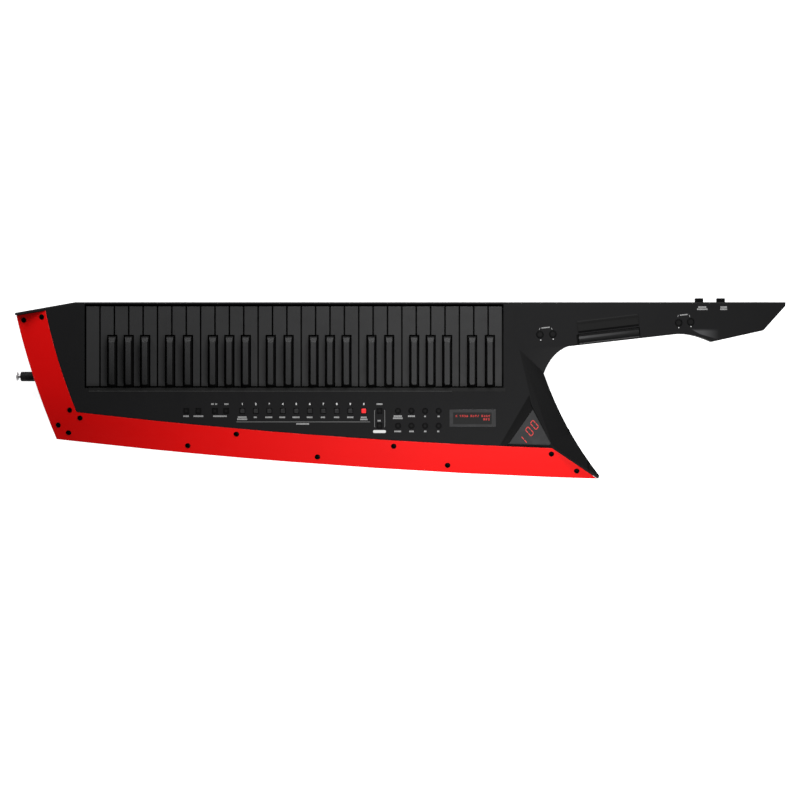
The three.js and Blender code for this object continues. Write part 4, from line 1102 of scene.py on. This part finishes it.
# Labels of the panel: column, row, width in pixels and number of lines
PANEL_LABELS = [
    (186.1, 416.2, 6.1, 1),
    (198.6, 416.2, 11.5, 1),
    (220.1, 416.2, 16, 1),
    (212.6, 404.1, 3.2, 1),
    (216.2, 404.1, 2, 1),
    (226.4, 404.1, 4.6, 1),
    (242.2, 418.2, 10, 2),
    (255.3, 417.3, 3.4, 1),
    (268.8, 417.3, 8, 1),
    (282.4, 417.3, 6.8, 1),
    (296, 417.3, 8, 1),
    (309.6, 417.3, 6.4, 1),
    (323.1, 417.3, 5.2, 1),
    (336.8, 417.3, 6.4, 1),
    (350.3, 417.3, 7.2, 1),
    (364, 418.4, 7.2, 2),
    (302.8, 423.9, 14.8, 1),
    (379.5, 404.1, 6.6, 1),
    (379.3, 420.7, 3.8, 1),
    (397.8, 417.2, 9.4, 2),
    (411.5, 416.2, 8, 1),
    (425.1, 416.4, 2, 1),
    (438.6, 416.4, 2.2, 1),
    (397.8, 431.4, 7.8, 1),
    (411.5, 431.4, 5, 1),
    (425.4, 431.4, 3, 1),
    (438.3, 431.4, 2.4, 1),
]
NECK_LABELS = [
    (702.3, 307.1, 9.4, 1),
    (702.3, 309.2, 12, 1),
    (723.7, 307.1, 7.4, 1),
    (723.7, 309.2, 7.8, 1),
]
NECK_DOTS = [(540.7, 340.1), (553.2, 339.1), (678.8, 327.7), (691, 326.5)]
DIGIT_ROW = 404.1
GROUP_LINE_ROW = 421.9
GROUP_LINE_COLUMNS = (236.4, 370)
BRACKET_COLUMNS = (374.5, 384.8)
BRACKET_ROWS = (410.7, 426.5)
PILL = (373, 430.1, 386, 433)
PILL_STEPS = 12
ARC_LABELS = [(545.7, 327.6, 9.5), (683.8, 314.8, 9)]
ARC_SHARE = 0.68
ARC_DROP = 2.2
ARC_LEG = (1.2 * MM, 3.2 * MM)
ARC_STROKE = STROKE * 0.9
ARC_TURN = math.radians(6)
ARC_LABEL_HEIGHT = LABEL_HEIGHT * 0.7
NUMERAL_SIZE = 4.59 * MM
NUMERAL_WEIGHT = 0.05


def numeral(digit, where):
    """A printed numeral as a thin solid."""
    curve = bpy.data.curves.new("numeral", "FONT")
    curve.body = str(digit)
    curve.size = NUMERAL_SIZE
    curve.align_x = "CENTER"
    curve.align_y = "CENTER"
    curve.extrude = INK_THICKNESS / 2
    curve.offset = NUMERAL_SIZE * NUMERAL_WEIGHT
    holder = put_in_scene("numeral", curve)
    mesh = bpy.data.meshes.new_from_object(holder.evaluated_get(bpy.context.evaluated_depsgraph_get()))
    bpy.data.objects.remove(holder)
    mesh.transform(Matrix.Translation(where + Vector((0, 0, INK_RISE - INK_THICKNESS / 2))))
    return mesh


def pill(form, low, high):
    """A printed bar with round ends."""
    radius = (high.y - low.y) / 2
    middle = (low.y + high.y) / 2
    outline = []
    for x, start in ((high.x - radius, -math.pi / 2), (low.x + radius, math.pi / 2)):
        for i in range(PILL_STEPS + 1):
            angle = start + math.pi * i / PILL_STEPS
            outline.append((x + radius * math.cos(angle), middle + radius * math.sin(angle)))
    loft(form, [[(x, y, PANEL_Z + z) for x, y in outline] for z in (INK_FOOT, INK_RISE)])


def make_panel_prints(caps):
    """Labels as plain blocks, the dots and numerals in white, and the grey lines round groups."""
    form = bmesh.new()
    for column, row, width, lines in PANEL_LABELS + NECK_LABELS:
        label(form, column, row, width, lines)
    for column, row, width in ARC_LABELS:
        label(form, column, row, width, 1, ARC_TURN, ARC_LABEL_HEIGHT)
        for side in (-1, 1):
            end = place(column + side * width * ARC_SHARE, row + ARC_DROP)
            stroke(form, end, end + Vector((-side * ARC_LEG[0], ARC_LEG[1], 0)), ARC_STROKE)
    piece_from(form, "labels", "case", "label_ink")
    form = bmesh.new()
    for column, row in NECK_DOTS:
        dot(form, column, row)
    for number, (centre, _, _) in enumerate(tone_row(caps), start=1):
        where = Vector((centre.x, place(0, DIGIT_ROW).y, PANEL_Z))
        form.from_mesh(numeral(number % 10, where))
    pill(form, *framed(PILL))
    piece_from(form, "white_prints", "case", "white_ink")
    form = bmesh.new()
    stroke(form, *(place(column, GROUP_LINE_ROW) for column in GROUP_LINE_COLUMNS))
    for column, inward in zip(BRACKET_COLUMNS, (1, -1)):
        top, bottom = (place(column, row) for row in BRACKET_ROWS)
        stroke(form, bottom, top)
        stroke(form, top, top + Vector((inward * MM, MM, 0)))
        stroke(form, bottom, bottom + Vector((inward * MM, -MM, 0)))
    piece_from(form, "grey_lines", "case", "grey_ink")


# Display

DISPLAY = (449.3, 409.4, 495.9, 426.8)
DISPLAY_WINDOW = (453.1, 412.4, 491.7, 424.3)
DISPLAY_THICKNESS = 0.75 * MM
DISPLAY_SINK = 0.15 * MM
DISPLAY_EDGE = 0.25 * MM
DISPLAY_WORDS = (1, 4, 4, 4)
DISPLAY_ROW = 417
DISPLAY_START = 455.5
DISPLAY_PITCH = 2.28
DISPLAY_SPACE = 0.8
DISPLAY_NUMBER_ROW = 420.3
DISPLAY_NUMBER_START = 483.4
DISPLAY_NUMBER_CELLS = 3
DISPLAY_DOT = 0.7 * MM
DISPLAY_DOT_PITCH = 1.25 * DISPLAY_DOT
CELL_DOTS = (3, 4)
LIT_CHANCE = 0.78


def framed(box):
    """The lowest and highest corners of a box of the photograph's left, top, right and bottom."""
    left, top, right, bottom = box
    return place(left, bottom), place(right, top)


def dot_cell(form, column, row):
    """A cell of a dot display with some of its dots lit, which makes no letter."""
    corner = place(column, row) - Vector((0, 0, DISPLAY_SINK))
    for i in range(CELL_DOTS[0]):
        for j in range(CELL_DOTS[1]):
            if random.random() < LIT_CHANCE:
                where = corner + Vector((i, j, 0)) * DISPLAY_DOT_PITCH
                ink_slab(form, 0, 0, DISPLAY_DOT, DISPLAY_DOT, Matrix.Translation(where))


def make_display():
    top = PANEL_Z - DISPLAY_SINK
    low, high = framed(DISPLAY)
    foot = (low.x, low.y, top - DISPLAY_THICKNESS)
    case_slab("display_window", "smoked", "smoked", foot, (high.x, high.y, top), DISPLAY_EDGE)
    low, high = framed(DISPLAY_WINDOW)
    foot = (low.x, low.y, top - DISPLAY_THICKNESS / 2)
    case_slab("display_glass", "display_glass", "smoked", foot, (high.x, high.y, top + INK_RISE / 2))
    form = bmesh.new()
    column = DISPLAY_START
    for word in DISPLAY_WORDS:
        for _ in range(word):
            dot_cell(form, column, DISPLAY_ROW)
            column += DISPLAY_PITCH
        column += DISPLAY_PITCH * DISPLAY_SPACE
    for i in range(DISPLAY_NUMBER_CELLS):
        dot_cell(form, DISPLAY_NUMBER_START + i * DISPLAY_PITCH, DISPLAY_NUMBER_ROW)
    piece_from(form, "display_dots", "case", "segments")


# Digits behind the light window

SEGMENT_LENGTH = 6.9 * MM
SEGMENT_WIDTH = 1.35 * MM
SEGMENT_GAP = 0.35 * MM
DIGIT_TURN = math.radians(53)
DIGIT_SLANT = math.radians(11)
LIGHT_DIGITS = [("1", 522.9, 441.4), ("0", 529.5, 431.4), ("0", 534.4, 424.9)]
LIT_SEGMENTS = {"0": "abcdef", "1": "bc"}
# Each segment's place across and up, in half widths and whole heights, and whether it stands
SEGMENT_PLACES = {
    "a": (0, 1, False),
    "b": (1, 0.5, True),
    "c": (1, -0.5, True),
    "d": (0, -1, False),
    "e": (-1, -0.5, True),
    "f": (-1, 0.5, True),
}


def segment(form, base, upright):
    """One bar of a digit, pointed at both ends."""
    half = SEGMENT_LENGTH / 2 - SEGMENT_GAP
    wide = SEGMENT_WIDTH / 2
    neck = half - wide
    outline = [(-half, 0), (-neck, -wide), (neck, -wide), (half, 0), (neck, wide), (-neck, wide)]
    turn = Matrix.Rotation(math.pi / 2 if upright else 0, 4, "Z")
    loft(form, [[(x, y, z) for x, y in outline] for z in (-INK_THICKNESS / 2, INK_RISE)], base @ turn)


def make_light_digits():
    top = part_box("light_window")[1].z
    slant = Matrix.Identity(4)
    slant[0][1] = math.tan(DIGIT_SLANT)
    form = bmesh.new()
    for digit, column, row in LIGHT_DIGITS:
        base = Matrix.Translation(place(column, row, top)) @ Matrix.Rotation(DIGIT_TURN, 4, "Z") @ slant
        for name in LIT_SEGMENTS[digit]:
            across, up, upright = SEGMENT_PLACES[name]
            shift = Vector((across * SEGMENT_LENGTH / 2, up * SEGMENT_LENGTH, 0))
            segment(form, base @ Matrix.Translation(shift), upright)
    piece_from(form, "light_digits", "case", "segments")


# Ribbon strip above the modulation bar

RIBBON_START = 0.3 * MM
RIBBON_LENGTH = 99.4 * MM
RIBBON_WIDTH = 19.4 * MM
RIBBON_OFFSET = 2.9 * MM
RIBBON_EDGE = 0.2 * MM
HINGE_INSET = 3.4 * MM
RIBBON_SINK = 0.3 * MM
RIBBON_THICKNESS = 0.5 * MM
SHADE_STRIP_WIDTH = 2.8 * MM
SHADE_STRIP_RISE = 0.1 * MM
RIBBON_BEAD = 1.6 * MM
RIBBON_LINE = 1.8 * MM


def make_ribbon():
    """The touch strip in line with the modulation bar's hinge, with a black strip of painted shade
    between the two, a painted highlight along its upper edge and dark lines of painted shade.
    """
    joint = next(joint for joint in frame["joints"] if joint["name"] == "modulation_bar_press")
    along = Vector(joint["axis"])
    hinge = Vector(joint["pos_m"])
    turn = Matrix.Rotation(math.atan2(along.y, along.x), 4, "Z")
    base = Matrix.Translation((hinge.x, hinge.y, PANEL_Z - RIBBON_SINK)) @ turn
    left, right = RIBBON_START, RIBBON_START + RIBBON_LENGTH
    lower = HINGE_INSET + RIBBON_OFFSET
    upper = lower + RIBBON_WIDTH
    foot = -RIBBON_THICKNESS
    over_panel = RIBBON_SINK + INK_RISE
    strip = ((left, lower, foot), (right, upper, 0))
    case_slab("ribbon_strip", "ribbon", "bar", *strip, RIBBON_EDGE, base)
    # A black strip of painted shade between the ribbon and the bar
    seal = ((left, lower, foot), (right, lower + SHADE_STRIP_WIDTH, SHADE_STRIP_RISE))
    case_slab("ribbon_shade_strip", "seal", "bar", *seal, matrix=base)
    # A lighter strip of painted highlight along the ribbon's upper edge
    bead = ((left, upper - RIBBON_BEAD, foot), (right, upper, over_panel))
    case_slab("ribbon_highlight_bead", "ribbon_edge", "bar", *bead, matrix=base)
    # Dark lines of painted shade below that highlight and at the ribbon's ends
    line = upper - RIBBON_BEAD - 2 * RIBBON_LINE
    form = bmesh.new()
    slab(form, (left, line, foot), (right, line + RIBBON_LINE, over_panel), base)
    for end in (left - RIBBON_LINE, right):
        slab(form, (end, lower, foot), (end + RIBBON_LINE, upper, over_panel), base)
    piece_from(form, "ribbon_shade_lines", "case", "cap_face")


# Black strip of painted shade along the light window's lower edge

WINDOW_SHADE = [(508.2, 446.2), (552.2, 447.6)]
WINDOW_SHADE_WIDTH = 3.4 * MM
WINDOW_SHADE_RISE = 0.12 * MM


def make_window_gasket():
    # A black strip of painted shade along the window's lower edge
    start, end = (place(column, row) for column, row in WINDOW_SHADE)
    top = ((end - start).length, WINDOW_SHADE_WIDTH, WINDOW_SHADE_RISE)
    base = turn_along(start, end)
    case_slab("window_shade_strip", "seal", "smoked", (0, 0, -INK_THICKNESS), top, matrix=base)


# Stage

FLOOR_SIZE = 40.0
FLOOR_DROP = 0.2 * MM
FLOOR_COLOUR = grey(0.8)
FLOOR_GLOW = grey(0.93)
WORLD_GREY = grey(0.06)
WHITE = (1, 1, 1, 1)
BLACK = (0, 0, 0, 1)
FAR_AWAY = 100
# Each lamp's place, target, size and power
LAMPS = {
    "key light": ((0.26, -0.44, 0.8), (0.23, -0.05, 0.07), (0.8, 0.35), 7.2),
    "rear light": ((0.22, 0.66, 0.74), (0.16, 0.05, 0.07), (0.8, 0.3), 8),
    "top strip": ((0.05, 1.25, 0.4), (0.02, 0.05, 0.07), (1.1, 0.3), 4),
    "left fill": ((-0.92, 0.56, 0.42), (-0.6, 0.14, 0.05), (0.3, 0.3), 2.4),
}


def floor_finish():
    """White to the camera and in reflections, darkened only by the object's own shadow."""
    material, tree, shader = empty_finish("white floor")
    shader.inputs["Base Color"].default_value = FLOOR_COLOUR
    shader.inputs["Roughness"].default_value = 0.9
    shader.inputs["Specular IOR Level"].default_value = 0
    shader.inputs["Emission Strength"].default_value = 1
    path = add_node(tree, "ShaderNodeLightPath")
    seen = calculate(tree, "MAXIMUM", path.outputs["Is Camera Ray"], path.outputs["Is Glossy Ray"])
    seen = calculate(tree, "MAXIMUM", seen, path.outputs["Is Transmission Ray"])
    wire(tree, shader.inputs["Emission Color"], colour_between(tree, seen, BLACK, FLOOR_GLOW))
    return material


def make_stage():
    form = bmesh.new()
    half = FLOOR_SIZE / 2
    corners = ((-half, -half, 0), (half, -half, 0), (half, half, 0), (-half, half, 0))
    form.faces.new([form.verts.new(corner) for corner in corners])
    mesh = mesh_from(form, "floor")
    mesh.materials.append(floor_finish())
    floor = put_in_scene("floor", mesh)
    floor.location.z = -FLOOR_DROP


def make_world():
    world = bpy.data.worlds.new("soft surround")
    bpy.context.scene.world = world
    world.use_nodes = True
    tree = world.node_tree
    path = add_node(tree, "ShaderNodeLightPath")
    seen = colour_between(tree, path.outputs["Is Camera Ray"], WORLD_GREY, WHITE)
    wire(tree, tree.nodes["Background"].inputs["Color"], seen)


def make_lamp(name, where, target, size, power):
    data = bpy.data.lights.new(name, "AREA")
    data.shape = "RECTANGLE"
    data.size, data.size_y = size
    data.energy = power
    lamp = put_in_scene(name, data)
    lamp.visible_camera = False
    lamp.location = where
    lamp.rotation_euler = (Vector(target) - Vector(where)).to_track_quat("-Z", "Y").to_euler()


def make_camera():
    data = bpy.data.cameras.new("camera")
    data.sensor_width = SENSOR_WIDTH
    data.sensor_fit = "HORIZONTAL"
    data.lens = SENSOR_WIDTH * CAMERA_DISTANCE / (IMAGE_SIDE * PIXEL)
    data.clip_end = FAR_AWAY
    camera = put_in_scene("camera", data)
    camera.location = CAMERA_PLACE
    bpy.context.scene.camera = camera


random.seed(7)
make_camera()
make_stage()
make_world()
for lamp_name, settings in LAMPS.items():
    make_lamp(lamp_name, *settings)
make_mouldings()
panel_caps = make_panel_buttons()
make_hand_buttons("octave_buttons")
make_hand_buttons("patch_buttons")
settle([moulding("thumb_buttons", "rubber", THUMB_EDGE, THUMB_SEGMENTS)])
make_end_pin()
make_cover_screws()
make_panel_prints(panel_caps)
make_display()
make_light_digits()
make_ribbon()
make_opening_trim()
make_window_gasket()

bpy.context.scene.view_settings.view_transform = "Standard"
